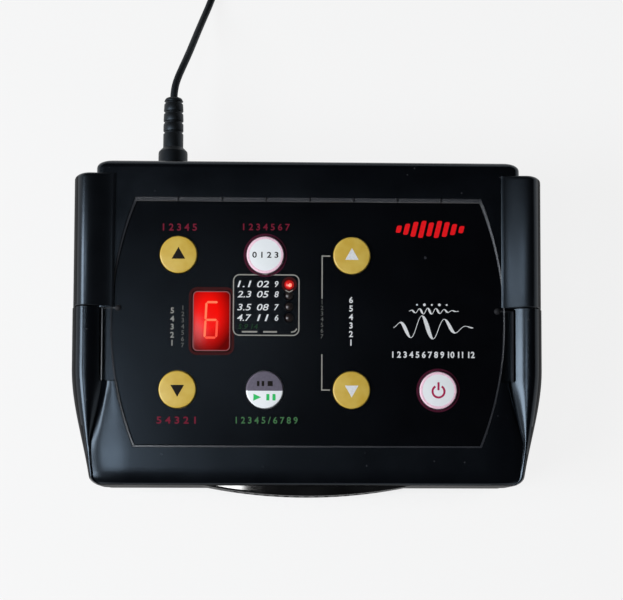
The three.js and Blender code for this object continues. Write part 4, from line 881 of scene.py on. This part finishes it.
goldKeys = ("pitch_up", "pitch_down", "volume_up", "volume_down")
triangle = [(-2.45, -1.6), (2.45, -1.6), (0, 2.65)]
for name in keyPlaces:
    finishPiece(name + "_cap", turnedMesh(name, capProfile(), keyFrame(name), 96), capSlot(name),
                name + "_button", [name + "_key"], 35)
for name in goldKeys:
    flip = 1 if name.endswith("up") else -1
    tint = "inkBlack" if name.startswith("pitch") else "inkWhite"
    capMark(name, name + "_mark", [[(x, y * flip) for x, y in triangle][::flip]], tint)
print("keys placed")


# Display window, digit and lamps
lens = {"glowShift": (-1.2, 2.6), "glowReach": (9.2, 13.8), "bright": (0.84, 0.003, 0.0006),
        "dim": (0.07, 0.0006, 0.0003), "level": -0.55, "halo": 1.9}
haloLow, haloHigh = plateTop - 0.05, plateTop + 0.02
glowPlace = deck @ Vector((*(Vector(windowPlace) + Vector(lens["glowShift"])), 0))
finish["window"] = windowGlow("window_red", glowPlace, lens["glowReach"], lens["bright"], lens["dim"])


def displayWindow():
    width, depth = keypad["window"]
    corner, halo, level = keypad["windowCorner"], lens["halo"], lens["level"]
    outlines = [roundedOutline(width - 2 * c, depth - 2 * c, corner - c, centre=windowPlace)
                for c in (0, 0, 0.1, 0.3)]
    mesh = deckSolid("lens", list(zip(outlines, (-shelfLow, level - 0.2, level - 0.07, level))))
    finishPiece("display_glass", mesh, "window", "case", ["display_lens"], 30)
    # A dim red ring on the plate round the window is painted glow: the display's light painted onto the
    # plate.
    outline = roundedOutline(width + halo, depth + halo, corner + 0.9, centre=windowPlace)
    hoop = hoopMesh("halo", outline, 1.0, haloLow, haloHigh, deck)
    thinPiece("window_painted_glow", hoop, "inkEmber")


def lampDome(i, material):
    radius = keypad["lampRadius"]
    profile = [(0, -7), (0.9, -7), (0.9, -5.8), (1.85, -5.8), (1.85, -4.7), (radius, -4.7), (radius, -1.5)]
    profile += [(radius * cos(a), -1.5 + sin(a)) for a in quarter()[1:-1]] + [(0, -0.5)]
    finishPiece(f"lamp_dome_{i + 1}", turnedMesh("lamp", profile, deck @ at(*lampPlaces[i]), 40), material,
                "case", [f"mode_lamp_{i + 1}"], 40)


displayWindow()
for i in range(keypad["lamps"]):
    lampDome(i, "lampLit" if i == 0 else "lamp")
print("display and lamps set")


# Plug with its ribbed relief
plug = {"collarRadius": 5.5, "reliefRadius": 3.8, "endRadius": 3.4, "grooves": 4, "barrelRadius": 2.75}


def plugBody():
    collar, low, end = plug["collarRadius"], lead["gap"], lead["collar"] + lead["relief"]
    profile = [(0, low)] + [(collar - 0.5 * (1 - sin(a)), low + 0.5 * (1 - cos(a))) for a in quarter(4)]
    profile += [(collar, 2.2), (5.3, 2.4), (5.3, 2.9), (collar, 3.1), (collar, 7.6), (5.35, 8.3), (4.2, 9.5),
                (plug["reliefRadius"], 9.9)]
    for i in range(plug["grooves"]):
        start = lead["collar"] + lead["relief"] * (0.27 + i * 0.2)
        radius = mix(plug["reliefRadius"], plug["endRadius"], (i / plug["grooves"]) ** 2)
        profile += [(radius - dip, start + ahead) for dip, ahead in (
            (0, -0.1), (0.1, 0.1), (0.5, 0.3), (0.5, 0.9), (0.1, 1.1), (0, 1.3))]
    profile += [(plug["endRadius"] - 1.2 * (1 - cos(a)), end - 1.2 + 1.2 * sin(a)) for a in quarter(6)]
    profile += [(1.5, end), (1.5, end - 1.2), (0, end - 1.2)]
    place = at(lead["x"], plugFace, lead["height"]) @ Matrix.Rotation(-pi / 2, 4, "X")
    mesh = turnedMesh("plug", profile, place, 72)
    finishPiece("plug_moulding", mesh, "plug", "plug", ["plug_body"], 30)
    outer = plug["barrelRadius"]
    barrel = [(0, -1.2), (1.25, -1.2), (1.25, -9.3), (1.45, -9.5), (outer - 0.25, -9.5), (outer, -9.2),
              (outer, -0.2), (outer, 0.28), (0, 0.28)]
    mesh = turnedMesh("barrel", barrel, place, 48)
    finishPiece("plug_sleeve", mesh, "brass", "plug", ["plug_barrel"], 30)


plugBody()
print("plug moulded")


# Printing on the keypad: every mark is a thin pad of ink that stands a few hundredths proud
ink = {"below": 0.05, "above": 0.03, "line": 0.45}
inkLow, inkHigh = plateTop - ink["below"], plateTop + ink["above"]


def printed(name, outlines, material, low=inkLow, high=inkHigh):
    pads = [prism("pad", outline, low, high, deck) for outline in outlines]
    thinPiece(name, joinedMesh(name, pads), material)


def barOutline(x, y, width, height, corner=0.1):
    return roundedOutline(width, height, min(corner, width / 2.2, height / 2.2), 3, (x, y))


# Plain numerals in a box: its height sets their size, and its width only what is wider than that
def numberPads(text, box, low, high, place=deck, bold=0.02, lean=0.0):
    x0, y0, x1, y1 = box
    data = bpy.data.curves.new("numbers", "FONT")
    data.body, data.offset, data.extrude, data.resolution_u, data.shear = text, bold, 0.5, 3, lean
    holder = addObject("numbers", data)
    shape = madeMesh(holder)
    bpy.data.objects.remove(holder)
    xs, ys = ([v.co[axis] for v in shape.vertices] for axis in (0, 1))
    if len(text) == 1:
        half = (max(xs) - min(xs)) * (y1 - y0) / (max(ys) - min(ys)) / 2
        x0, x1 = (x0 + x1) / 2 - half, (x0 + x1) / 2 + half
    points = [(mix(x0, x1, (v.co.x - min(xs)) / (max(xs) - min(xs))),
               mix(y0, y1, (v.co.y - min(ys)) / (max(ys) - min(ys))),
               mix(low, high, v.co.z + 0.5)) for v in shape.vertices]
    return meshFrom("numbers", points, [tuple(face.vertices) for face in shape.polygons], place)


def printedNumbers(name, rows, material, bold=0.02, lean=0.0):
    meshes = [numberPads(text, box, inkLow, inkHigh, bold=bold, lean=lean) for text, box in rows]
    thinPiece(name, joinedMesh(name, meshes), material)


def column(text, x, top, bottom, width):
    step = (top - bottom) / len(text)
    return [(mark, (x - width / 2, top - (i + 0.72) * step, x + width / 2, top - i * step))
            for i, mark in enumerate(text)]


def panelNumbers():
    printedNumbers("store_numbers", [("1 2 3 4 5", (-52.8, 33.3, -40.5, 35.9))], "inkRed")
    printedNumbers("mode_numbers", [("1 2 3 4 5 6 7", (-23.8, 33.6, -6.8, 36.1))], "inkRed")
    printedNumbers("recall_numbers", [("5 4 3 2 1", (-54.4, -36.4, -40.3, -33.8))], "inkRed")
    printedNumbers("pitch_scale", column("54321", -49.1, 5.4, -9.2, 1.9), "inkCream")
    printedNumbers("fine_scale", column("1234567", -45.3, 6.2, -9.6, 1.2), "inkDull", 0.0)
    printedNumbers("level_scale", column("654321", 15.45, 9.6, -8.9, 2.2), "inkWhite")
    printedNumbers("step_scale", column("1234567", 4.95, 8.4, -6.05, 1.1), "inkDull", 0.0)
    rows = []
    for i, y in enumerate((14.1, 10.4, 5.7, 1.9)):
        rows += [(f"{i + 1}.{2 * i + 1}", (-25.7, y - 1.2, -20.6, y + 1.2)),
                 (f"{3 * i + 2:02d}", (-18.6, y - 1.2, -14.3, y + 1.2)),
                 (str(9 - i), (-12.3, y - 1.1, -10.7, y + 1.1))]
    printedNumbers("mode_table", rows, "inkWhite", 0.01, 0.2)
    printedNumbers("spare_row", [("5.9 14", (-25.4, -2.2, -18.2, -0.4))], "inkMoss", 0.01, 0.2)
    printedNumbers("start_stop_numbers", [("1 2 3 4 5 / 6 7 8 9", (-26.0, -36.3, -3.7, -33.8))], "inkGreen")
    names = " ".join(str(i) for i in range(1, 13))
    printedNumbers("semitone_numbers", [(names, (30.4, -12.4, 60.3, -10.0))], "inkWhite", 0.03)


def panelLines():
    frameLine = roundedOutline(23.7, 21.9, 2.2, 8, (-15.25, 6.5))
    thinPiece("table_frame", hoopMesh("frame", frameLine, 0.42, inkLow, inkHigh, deck), "inkCream")
    printed("table_marks", [
        [(-16.6, 17.9), (-14.9, 17.9), (-15.75, 18.9)], barOutline(-21.2, -3.2, 5.6, 0.6),
        barOutline(-13.8, -3.2, 5.0, 0.6), lineOutline([(-6.2, -3.3), (-4.9, -3.0), (-4.1, -2.0)], 0.5),
        lineOutline([(-8.3, 11.9), (-7.0, 11.2), (-5.7, 11.9)], 0.35),
    ], "inkCream")
    half, stem, end = ink["line"] / 2, 4.95, 7.9
    printed("volume_bracket", [
        [(stem - half, 8.9), (stem + half, 8.9), (stem + half, 24.4 - half), (end, 24.4 - half),
         (end, 24.4 + half), (stem - half, 24.4 + half)],
        [(stem - half, -24.1 - half), (end, -24.1 - half), (end, -24.1 + half), (stem + half, -24.1 + half),
         (stem + half, -11.2), (stem - half, -11.2)],
    ], "inkCream")
    printed("pilot_dot", [circleOutline(0.5, (42.4, 24.0), 20)], "rim")


levelBars = {"heights": (2.6, 4.0, 5.4, 6.2, 5.0, 6.2, 5.4, 4.0, 2.6), "width": 1.8, "slant": 0.24,
             "start": 32.8, "pitch": 2.85, "level": 34.4}
toneLines = {"points": 144, "lines": (  # base, height, start, end, waves, weight
    (-1.4, 4.3, 30.8, 59.8, 3.5, 1.25), (4.6, 1.1, 36.5, 54.5, 6.0, 0.55))}


# Ornaments in two places of the keypad: a row of scarlet level bars, and a swelling tone with its overtone
def ornaments():
    printed("red_level_bars", [
        [(levelBars["start"] + i * levelBars["pitch"] + u + v * levelBars["slant"], levelBars["level"] + v)
         for u, v in roundedOutline(levelBars["width"], height, 0.55, 5)]
        for i, height in enumerate(levelBars["heights"])], "inkScarlet")
    count = toneLines["points"]
    shares = [k / count for k in range(count + 1)]
    swell = [sin(pi * s ** 0.72) ** 1.2 for s in shares]
    for i, (base, height, start, end, waves, weight) in enumerate(toneLines["lines"], 1):
        phase = [2 * pi * waves * s for s in shares]
        tone = [(mix(start, end, s), base + height * w * sin(p)) for s, w, p in zip(shares, swell, phase)]
        heavy = [0.22 + weight * max(0, -cos(p)) * w ** 0.5 for w, p in zip(swell, phase)]
        line = lineOutline(tone, lambda share, table=heavy: table[round(share * count)])
        printed(f"tone_line_{i}", [line], "inkWhite")
    printed("tone_dots", [circleOutline(0.34 + 0.16 * (i % 2), (39.4 + 2.7 * i, 6.9), 18) for i in range(5)],
            "inkWhite")


# Rings that cover an outline's inside, laid on the dome of a key cap
def domedRings(outline, centre, lift):
    rings = [[(x, y, -0.1) for x, y in outline]]
    for share in (1, 0.99, 0.97, 0.94, 0.9, 0.8, 0.65, 0.5, 0.35, 0.2, 0.1):
        ring = []
        for x, y in outline:
            x, y = mix(centre[0], x, share), mix(centre[1], y, share)
            radius = hypot(x, y)
            edge = max(0, 1 - (keypad["keyRadius"] - radius) / key["edge"])
            fall = key["dome"] * (radius / domeReach) ** 2
            if edge:
                fall = key["fall"] - key["edgeRise"] * sqrt(max(0, 1 - edge * edge))
            ring.append((x, y, key["crown"] - fall + lift))
        rings.append(ring)
    return rings


# Rings of painted pink glow on the plate round the white keys, pink rings on their cap edges, and the marks
# on their caps
def whiteKeyMarks():
    radius, top = keypad["keyRadius"], key["crown"]
    for name in ("mode", "power"):
        # The rose ring on the plate round each white key is painted glow.
        hoop = hoopMesh("halo", circleOutline(7.45, sides=96), 0.8, inkLow, inkHigh, keyFrame(name))
        thinPiece(name + "_painted_glow", hoop, "inkRose")
        edge = capEdge(0.02, 0.02) + [(radius - 0.95, top - 0.155), (radius - 0.95, top - 0.5),
                                      (radius - 0.4, top - 0.62)]
        rings = layered([(circleOutline(r, sides=96), z) for r, z in edge])
        mesh = loftMesh("edge", rings, keyFrame(name), closedLoop=True)
        thinPiece(name + "_edge", mesh, "inkPink", name + "_button")
    turns = [radians(122 + 296 * i / 40) for i in range(41)]
    arc = [(2.15 * cos(t), -0.4 + 2.15 * sin(t)) for t in turns]
    capMark("power", "power_mark", [lineOutline(arc, 0.75), barOutline(0, 1.5, 0.75, 2.9, 0.2)], "inkCrimson")
    reach, end = radius + 0.02, radius - 0.01
    half = [(reach * cos(pi * i / 48), reach * sin(pi * i / 48)) for i in range(49)]
    chord = [(mix(-end, end, i / 24), -0.4) for i in range(25)]
    mesh = loftMesh("half", domedRings(half + chord, (0, 2.2), 0.02), keyFrame("start_stop"))
    thinPiece("stop_half", mesh, "grey", "start_stop_button")
    capMark("start_stop", "stop_sign", [barOutline(-2.3, 2.2, 0.9, 1.8), barOutline(-0.6, 2.2, 0.9, 1.8),
                                        barOutline(2.0, 2.2, 1.8, 1.8)], "inkBlack", 0.04)
    capMark("start_stop", "start_sign", [[(-4.0, -3.95), (-1.2, -2.7), (-4.0, -1.45)],
                                         barOutline(1.2, -2.7, 1.1, 2.3), barOutline(3.4, -2.7, 1.1, 2.3)],
            "inkLeaf")
    capMark("mode", "mode_cap_numbers", [], "inkBlack",
            pads=numberPads("0 1 2 3", (-4.7, -1.1, 4.7, 1.1), 0.2, 1.2, keyFrame("mode")))


# Lit digit in the display window, drawn as sloping bars under a thin pale border
digit = {"centre": (-35.0, 1.0), "width": 4.2, "height": 12.8, "bar": 0.8, "lean": 0.05}


def barBetween(start, end, width):
    along = Vector((end[0] - start[0], end[1] - start[1])).normalized()
    across = Vector((-along.y, along.x)) * width / 2
    a, b = Vector(start) + along * width * 0.12, Vector(end) - along * width * 0.12
    tip = along * width / 2
    points = [a, a + tip - across, b - tip - across, b, b - tip + across, a + tip + across]
    return [(p.x, p.y) for p in points]


def litDigit(s):
    x, y = s["width"] / 2, s["height"] / 2
    strong = [((-x, y), (x, y)), ((-x, 0), (-x, y)), ((-x, -y), (-x, 0)), ((-x, 0), (x, 0))]
    weak = [((x, -y), (x, 0)), ((-x, -y), (x, -y))]
    for name, bars, material in (("digit_bars", strong, "digit"), ("digit_low_bars", weak, "digitDim")):
        outlines = [[(s["centre"][0] + u + v * s["lean"], s["centre"][1] + v)
                     for u, v in barBetween(start, end, s["bar"])] for start, end in bars]
        printed(name, outlines, material, lens["level"] - ink["below"], lens["level"] + ink["above"])
    width, depth = (size - 0.3 for size in keypad["window"])
    outline = roundedOutline(width, depth, keypad["windowCorner"], 8, windowPlace)
    hoop = hoopMesh("window_line", outline, 0.34, -0.7, -0.5, deck)
    thinPiece("window_line", hoop, "windowLine")
    core = turnedMesh("core", [(0, -0.7), (0.75, -0.7), (0.6, -0.54), (0.3, -0.46), (0, -0.45)],
                      deck @ at(lampPlaces[0][0] + 0.25, lampPlaces[0][1] - 0.2), 32)
    thinPiece("lamp_core", core, "lampCore")
    # A dim red ring round the lit lamp is painted glow: its light painted onto the plate.
    outline = circleOutline(2.3, lampPlaces[0])
    thinPiece("lamp_painted_glow", hoopMesh("halo", outline, 0.9, haloLow, haloHigh, deck), "inkEmber")


panelNumbers()
panelLines()
ornaments()
whiteKeyMarks()
litDigit(digit)
print("keypad printed")


# Ribs and catches in the side bays
fittings = {"ribX": 74.3, "ribFront": -20.9, "ribInner": 69.2, "catchX": 68.6, "back": {-1: 5.2, 1: 4.6},
            "floor": -5.3, "ribTop": -0.6, "catchRadius": 1.2}


def bayFittings(s):
    ribs, catches = [], []
    radius, low = s["catchRadius"], s["floor"]
    profile = [(0, low), (radius, low), (radius, -0.9)]
    profile += [(radius * cos(a), -0.9 + 0.8 * sin(a)) for a in quarter(6)[1:-1]] + [(0, -0.1)]
    for side, back in s["back"].items():
        wide, narrow = (lineOutline([(side * s["ribX"], s["ribFront"] + cut), (side * s["ribX"], back - cut),
                                     (side * (s["ribInner"] + cut), back - cut)], width)
                        for cut, width in ((0, 0.5), (0.1, 0.3)))
        ribs.append(deckSolid("rib", [(wide, low), (wide, s["ribTop"] - 0.15), (narrow, s["ribTop"])]))
        catches.append(turnedMesh("catch", profile, deck @ at(side * s["catchX"], back), 32))
    finishPiece("bay_ribs", joinedMesh("ribs", ribs), "rim", "case", smooth=40)
    finishPiece("bay_catches", joinedMesh("catches", catches), "clip", "case", smooth=40)


bayFittings(fittings)
print("bays fitted")


# Underside: tray, feet, screws and the sliding battery door
tray = {"foot": 3, "edge": 1.6, "floor": 5.5, "inside": (149.2, 112.2), "insideCorner": 2.8,
        "screws": (68, -47.8, 51.2), "screwLevel": 6.7, "feet": (53, -44.8, 48.2), "lap": 0.35,
        "ribOut": 3.9, "ribWidth": 1.6, "ribLow": 4.9, "ribHigh": 18, "ribFront": 21.9, "ribBack": 57.4,
        "slots": 9, "slotPitch": 3.2, "slotSize": (1.6, 16), "firstSlot": (22, -28),
        "panel": (46, 24), "panelPlace": (-38, -22)}
door = {"low": -9.85, "high": 48.35, "front": 24.35, "back": 57.8, "top": 6.8, "gap": 0.3, "flange": 2,
        "grips": 4, "gripPitch": 2.2}
screw = {"radius": 1.35, "length": 15, "head": 2.8, "rise": 1.8}


def fourPlaces(x, front, back):
    return [(side * x, y) for side in (1, -1) for y in (front, back)]


def caseBottom():
    outline = shrinkingOutline(case["width"], case["depth"], case["corner"], (0, middleY))
    layers = roundedEdge(outline, tray["edge"], tray["foot"])
    layers += [(outline(0), 9.3), (outline(tray["lap"]), 9.45), (outline(tray["lap"]), case["parting"])]
    inside = roundedOutline(*tray["inside"], tray["insideCorner"], 6, (0, middleY))
    places, floor, flange = fourPlaces(*tray["screws"]), tray["floor"], door["flange"]
    wellProfile = [(0, 0), (3.5, 0), (3.5, 3), (3.1, 3.4), (3.1, 7), (0, 7)]
    wells = [turnedMesh("well", wellProfile, at(x, y), 40) for x, y in places]
    posts = [turnedMesh("post", [(0, 4.9), (4, 4.9), (4, 15), (0, 15)], at(x, y), 32) for x, y in places]
    left, right, thick = door["low"] - tray["ribOut"], door["high"] + tray["ribOut"], tray["ribWidth"]
    ribLow, ribHigh, ribFront = tray["ribLow"], tray["ribHigh"], tray["ribFront"]
    ribs = [boxMesh("rib", (x, ribFront + 0.1, ribLow), (x + thick, tray["ribBack"], ribHigh))
            for x in (left, right - thick)]
    cross = boxMesh("rib", (left, ribFront, ribLow), (right, ribFront + thick, ribHigh))
    slotX, slotY = tray["firstSlot"]
    slots = [roundedOutline(*tray["slotSize"], 0.75, 4, (slotX + tray["slotPitch"] * i, slotY))
             for i in range(tray["slots"])]
    grille = joinedMesh("grille", [prism("slot", slot, 0, 8) for slot in slots])
    panel = roundedOutline(*tray["panel"], 2, 6, tray["panelPlace"])
    low, high, front = door["low"] - door["gap"], door["high"] + door["gap"], door["front"] - door["gap"]
    mesh = combine("tray", loftMesh("tray", layered(layers)), [prism("in", inside, floor, 14)])
    mesh = combine("tray", mesh, [joinedMesh("posts", posts), joinedMesh("ribs", ribs), cross], "UNION")
    mesh = combine("tray", mesh, [
        boxMesh("mouth", (low, front, 0), (high, 70, 6.1)),
        boxMesh("flange_way", (low - flange, front, floor), (high + flange, 70, 7.1)),
        boxMesh("lip_way", (low - flange, 57.5, floor), (high + flange, 70, 18)),
        joinedMesh("wells", wells), prism("panel", panel, 0, 3.25), grille,
    ])
    dullWalls(finishPiece("case_bottom", mesh, "shell", "case", ["bottom_shell"], 28))


def crossScrew(name, place):
    radius, length, head, rise = (screw[part] for part in ("radius", "length", "head", "rise"))
    profile = [(0, -rise), (head * 0.55, -rise), (head * 0.86, -rise * 0.8), (head, -rise * 0.4), (head, 0),
               (radius, 0), (radius, length - radius), (0, length)]
    arms = []
    for turn in (0, pi / 2):
        arm = [(x * cos(turn) - y * sin(turn), x * sin(turn) + y * cos(turn))
               for x, y in roundedOutline(head * 1.25, 0.9, 0.2, 3)]
        arms.append(prism("arm", arm, -rise - 2, -rise + 0.75, place))
    mesh = combine(name, turnedMesh(name, profile, place, 40), arms)
    finishPiece(name + "_head", mesh, "steel", "case", [name], 35)


def rubberFoot(name, place):
    profile = [(0, 0.5), (2.0, 0.5), (2.2, 0), (2.9, 0), (3.1, 0.5), (3.6, 0.5), (3.8, 0)]
    profile += [(4.2 + 0.8 * sin(a), 0.8 * (1 - cos(a))) for a in quarter(5)] + [(5, 3), (0, 3)]
    finishPiece(name + "_pad", turnedMesh(name, profile, place, 64), "rubber", "case", [name], 35)


def batteryDoor():
    low, high, front, flange, top = (door[part] for part in ("low", "high", "front", "flange", "top"))
    width, depth, middle = high - low, backY - front, (low + high) / 2
    centre = (middle, (backY + front) / 2)
    plate = roundedOutline(width, depth, 0.6, 4, centre)
    inset = roundedOutline(width - 0.5, depth - 0.5, 0.5, 4, centre)
    body = loftMesh("door", layered([(inset, 3), (plate, 3.25), (plate, top)]))
    wings = boxMesh("wings", (low - flange, front, 5.8), (high + flange, door["back"], top))
    lipOutline = roundedOutline(width + 2 * flange, 3.9, 0.35, 3, (middle, 7.75))
    lip = uprightSolid("lip", lipOutline, door["back"], backY)
    grips = [prism("grip", roundedOutline(26, 1, 0.45, 4, (middle, 56.2 - i * door["gripPitch"])), 0, 3.6)
             for i in range(door["grips"])]
    grips.append(prism("arrow", [(middle - 4, 44.5), (middle + 4, 44.5), (middle, 47.8)], 0, 3.35))
    mesh = combine("door", combine("door", body, [wings, lip], "UNION"), [joinedMesh("grips", grips)])
    finishPiece("battery_slide", mesh, "shell", "door", ["battery_door"], 30)


caseBottom()
for i, (x, y) in enumerate(fourPlaces(*tray["screws"]), 1):
    crossScrew(f"case_screw_{i}", at(x, y, tray["screwLevel"]))
for i, (x, y) in enumerate(fourPlaces(*tray["feet"]), 1):
    rubberFoot(f"foot_{i}", at(x, y))
batteryDoor()
print("underside made")


# Coil tie and wall adapter, which lie behind the view
tie = {"room": 1.7, "low": 0.85, "thickness": 0.8, "half": 1.85}


def coilTie(s):
    inner, outer = coilOuter - layerTurns * coilPitch - s["room"], coilOuter + s["room"]
    high = lead["coilLevel"] + (lead["layers"] - 1) * coilPitch + s["room"]
    turned = Matrix(((0, 0, 1, 0), (1, 0, 0, 0), (0, 1, 0, 0), (0, 0, 0, 1)))
    place = at(coilX, coilY - (inner + outer) / 2, (s["low"] + high) / 2) @ turned
    outline = roundedOutline(outer - inner + s["thickness"], high - s["low"] + s["thickness"], 1.6, 8)
    left, right = band(outline, s["thickness"], closed=True)
    rings = layered([(left, -s["half"]), (left, s["half"]), (right, s["half"]), (right, -s["half"])])
    finishPiece("hook_strap", loftMesh("strap", rings, place, closedLoop=True), "strap", "plug",
                ["coil_tie"], 50)


def wallAdapter(s):
    x, y = coilX + lead["leadOut"] + 0.3, coilY + coilOuter
    middle, edge, seam, height = x + s["relief"] + s["length"] / 2, s["edge"], s["seam"], s["height"]
    outline = shrinkingOutline(s["length"], s["depth"], s["corner"], (middle, y))
    layers = roundedEdge(outline, edge, 0)
    layers += [(outline(inset), seam + ahead)
               for inset, ahead in ((0, -0.3), (0.35, 0), (0.35, 0.4), (0, 0.7))]
    layers += roundedEdge(outline, edge, height, top=True)
    axis = at(x, y, height / 2) @ Matrix.Rotation(pi / 2, 4, "Y")
    relief = [(0, 0), (2.0, 0), (2.2, 0.2)]
    for i in range(4):
        low, radius = 1.6 + i * 2.5, mix(2.3, 3.1, i / 4)
        relief += [(radius + out, low + ahead) for out, ahead in (
            (0, 0), (-0.45, 0.25), (-0.45, 0.95), (0.1, 1.2))]
    relief += [(3.2, 12.6), (0, 12.6)]
    relief = turnedMesh("relief", relief, axis, 40)
    body = combine("adapter", loftMesh("body", layered(layers)), [relief], "UNION")
    plate = roundedOutline(34, 22, 1.5, 5, (middle, y))
    body = combine("adapter", body, [prism("place", plate, -1, 0.3)])
    finishPiece("adapter_case", body, "shell", "plug", ["adapter_body"], 30)
    wide, end = s["pinRadius"], s["pinEnd"]
    pin = [(0, height - 0.1), (wide, height - 0.1), (wide, end - 1.4)]
    pin += [(1 + cos(a), end - 1.4 + 1.4 * sin(a)) for a in quarter(6)[1:]] + [(0, end)]
    for side, name in ((-1, "adapter_pin_front"), (1, "adapter_pin_back")):
        mesh = turnedMesh(name, pin, at(middle, y + side * s["pinApart"] / 2), 40)
        finishPiece(name + "_turned", mesh, "brass", "plug", [name], 35)


coilTie(tie)
wallAdapter(adapter)
print("adapter made")


# CAD nodes that keep their shape get their finish here
nodeFinish = {
    "display_module": "chip", "main_board": "board", "sound_chip": "chip", "speaker_gasket": "foam",
    "speaker_frame": "steel", "speaker_cone": "paper", "speaker_magnet": "magnet", "speaker_lead": "lead",
    "battery_lead": "lead", "battery_cell": "battery", "battery_snap": "rubber", "dc_socket": "chip",
}


def nodeMaterial(name):
    if "_switch" in name:
        return "chip"
    return "steel" if "board_screw" in name else nodeFinish.get(name, "shell")


for name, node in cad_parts.items():
    node.data.materials.clear()
    node.data.materials.append(finish[nodeMaterial(name)])
print("CAD nodes finished")


# Lamps, world and table
room = {
    "floorRadius": 1500, "wallHeight": 700, "bend": 350, "paper": (0.86, 0.86, 0.865), "glow": 0.925,
    "glowShare": 0.93, "shadeReach": 0.02, "sky": 0.03, "skyColour": (0.94, 0.96, 1, 1),
}
lampSizes = {  # place, aim, size, power, colour
    "left_window": ((-0.66, -0.2, 0.62), (0, 0, 0.03), (0.5, 0.42), 10.8, (0.93, 0.965, 1)),
    "high_window": ((-0.24, -0.12, 0.85), (0, 0, 0.03), (0.14, 0.14), 0.8, (0.86, 0.93, 1)),
    "ceiling": ((-0.0445, -0.033, 0.9), (-0.03, -0.05, 0.03), (0.019, 0.018), 0.042, (1, 1, 1)),
}


# White paper that keeps a soft shadow: most of what the camera sees of it is its own glow,
# except under the object, where the paper is dark
def paperMaterial(s):
    material, shader = newMaterial("paper_white", s["paper"], 0.8)
    output = next(node for node in material.node_tree.nodes if node.type == "OUTPUT_MATERIAL")
    path = addNode(shader, "ShaderNodeLightPath")
    either, every = (addNode(shader, "ShaderNodeMath", operation="MAXIMUM") for i in range(2))
    wire(path, "Is Camera Ray", either, 0)
    wire(path, "Is Glossy Ray", either, 1)
    wire(either, "Value", every, 0)
    wire(path, "Is Transmission Ray", every, 1)
    opening = addNode(shader, "ShaderNodeAmbientOcclusion", Distance=s["shadeReach"], samples=6)
    share = addNode(shader, "ShaderNodeMath", operation="MULTIPLY")
    wire(every, "Value", share, 0)
    wire(spread(opening, "AO", (0.15, 0.4), (0.0, s["glowShare"])), "Result", share, 1)
    glow = addNode(shader, "ShaderNodeEmission", Strength=s["glow"])
    blend = addNode(shader, "ShaderNodeMixShader")
    wire(share, "Value", blend, "Fac")
    wire(shader, "BSDF", blend, 1)
    wire(glow, "Emission", blend, 2)
    wire(blend, "Shader", output, "Surface")
    return material


def makeRoom(s):
    radius, bend, sides = s["floorRadius"], s["bend"], 64
    profile = [(radius * i / 6, 0) for i in range(7)]
    profile += [(radius + bend * sin(a), bend * (1 - cos(a))) for a in quarter()[1:]]
    profile.append((radius + bend, s["wallHeight"]))
    points = [(x, y, z) for r, z in profile for x, y in circleOutline(r, sides=sides)]
    faces = [(i * sides + j, (i + 1) * sides + j, (i + 1) * sides + k, i * sides + k)
             for i in range(len(profile) - 1) for j, k in ((j, (j + 1) % sides) for j in range(sides))]
    mesh = meshFrom("paper_sweep", points, faces)
    mesh.shade_smooth()
    mesh.materials.append(paperMaterial(s))
    addObject("paper_sweep", mesh)
    world = bpy.data.worlds.new("room")
    scene.world = world
    world.use_nodes = True
    sky = world.node_tree.nodes["Background"].inputs
    sky["Color"].default_value, sky["Strength"].default_value = s["skyColour"], s["sky"]


def makeLamp(name, place, aim, size, power, colour):
    data = bpy.data.lights.new(name, "AREA")
    data.shape = "RECTANGLE"
    data.size, data.size_y = size
    data.energy, data.color = power, colour
    lamp = addObject(name, data)
    lamp.location = place
    lamp.rotation_euler = (Vector(aim) - Vector(place)).to_track_quat("-Z", "Y").to_euler()


makeRoom(room)
for name, sizes in lampSizes.items():
    makeLamp(name, *sizes)
print("room lit")
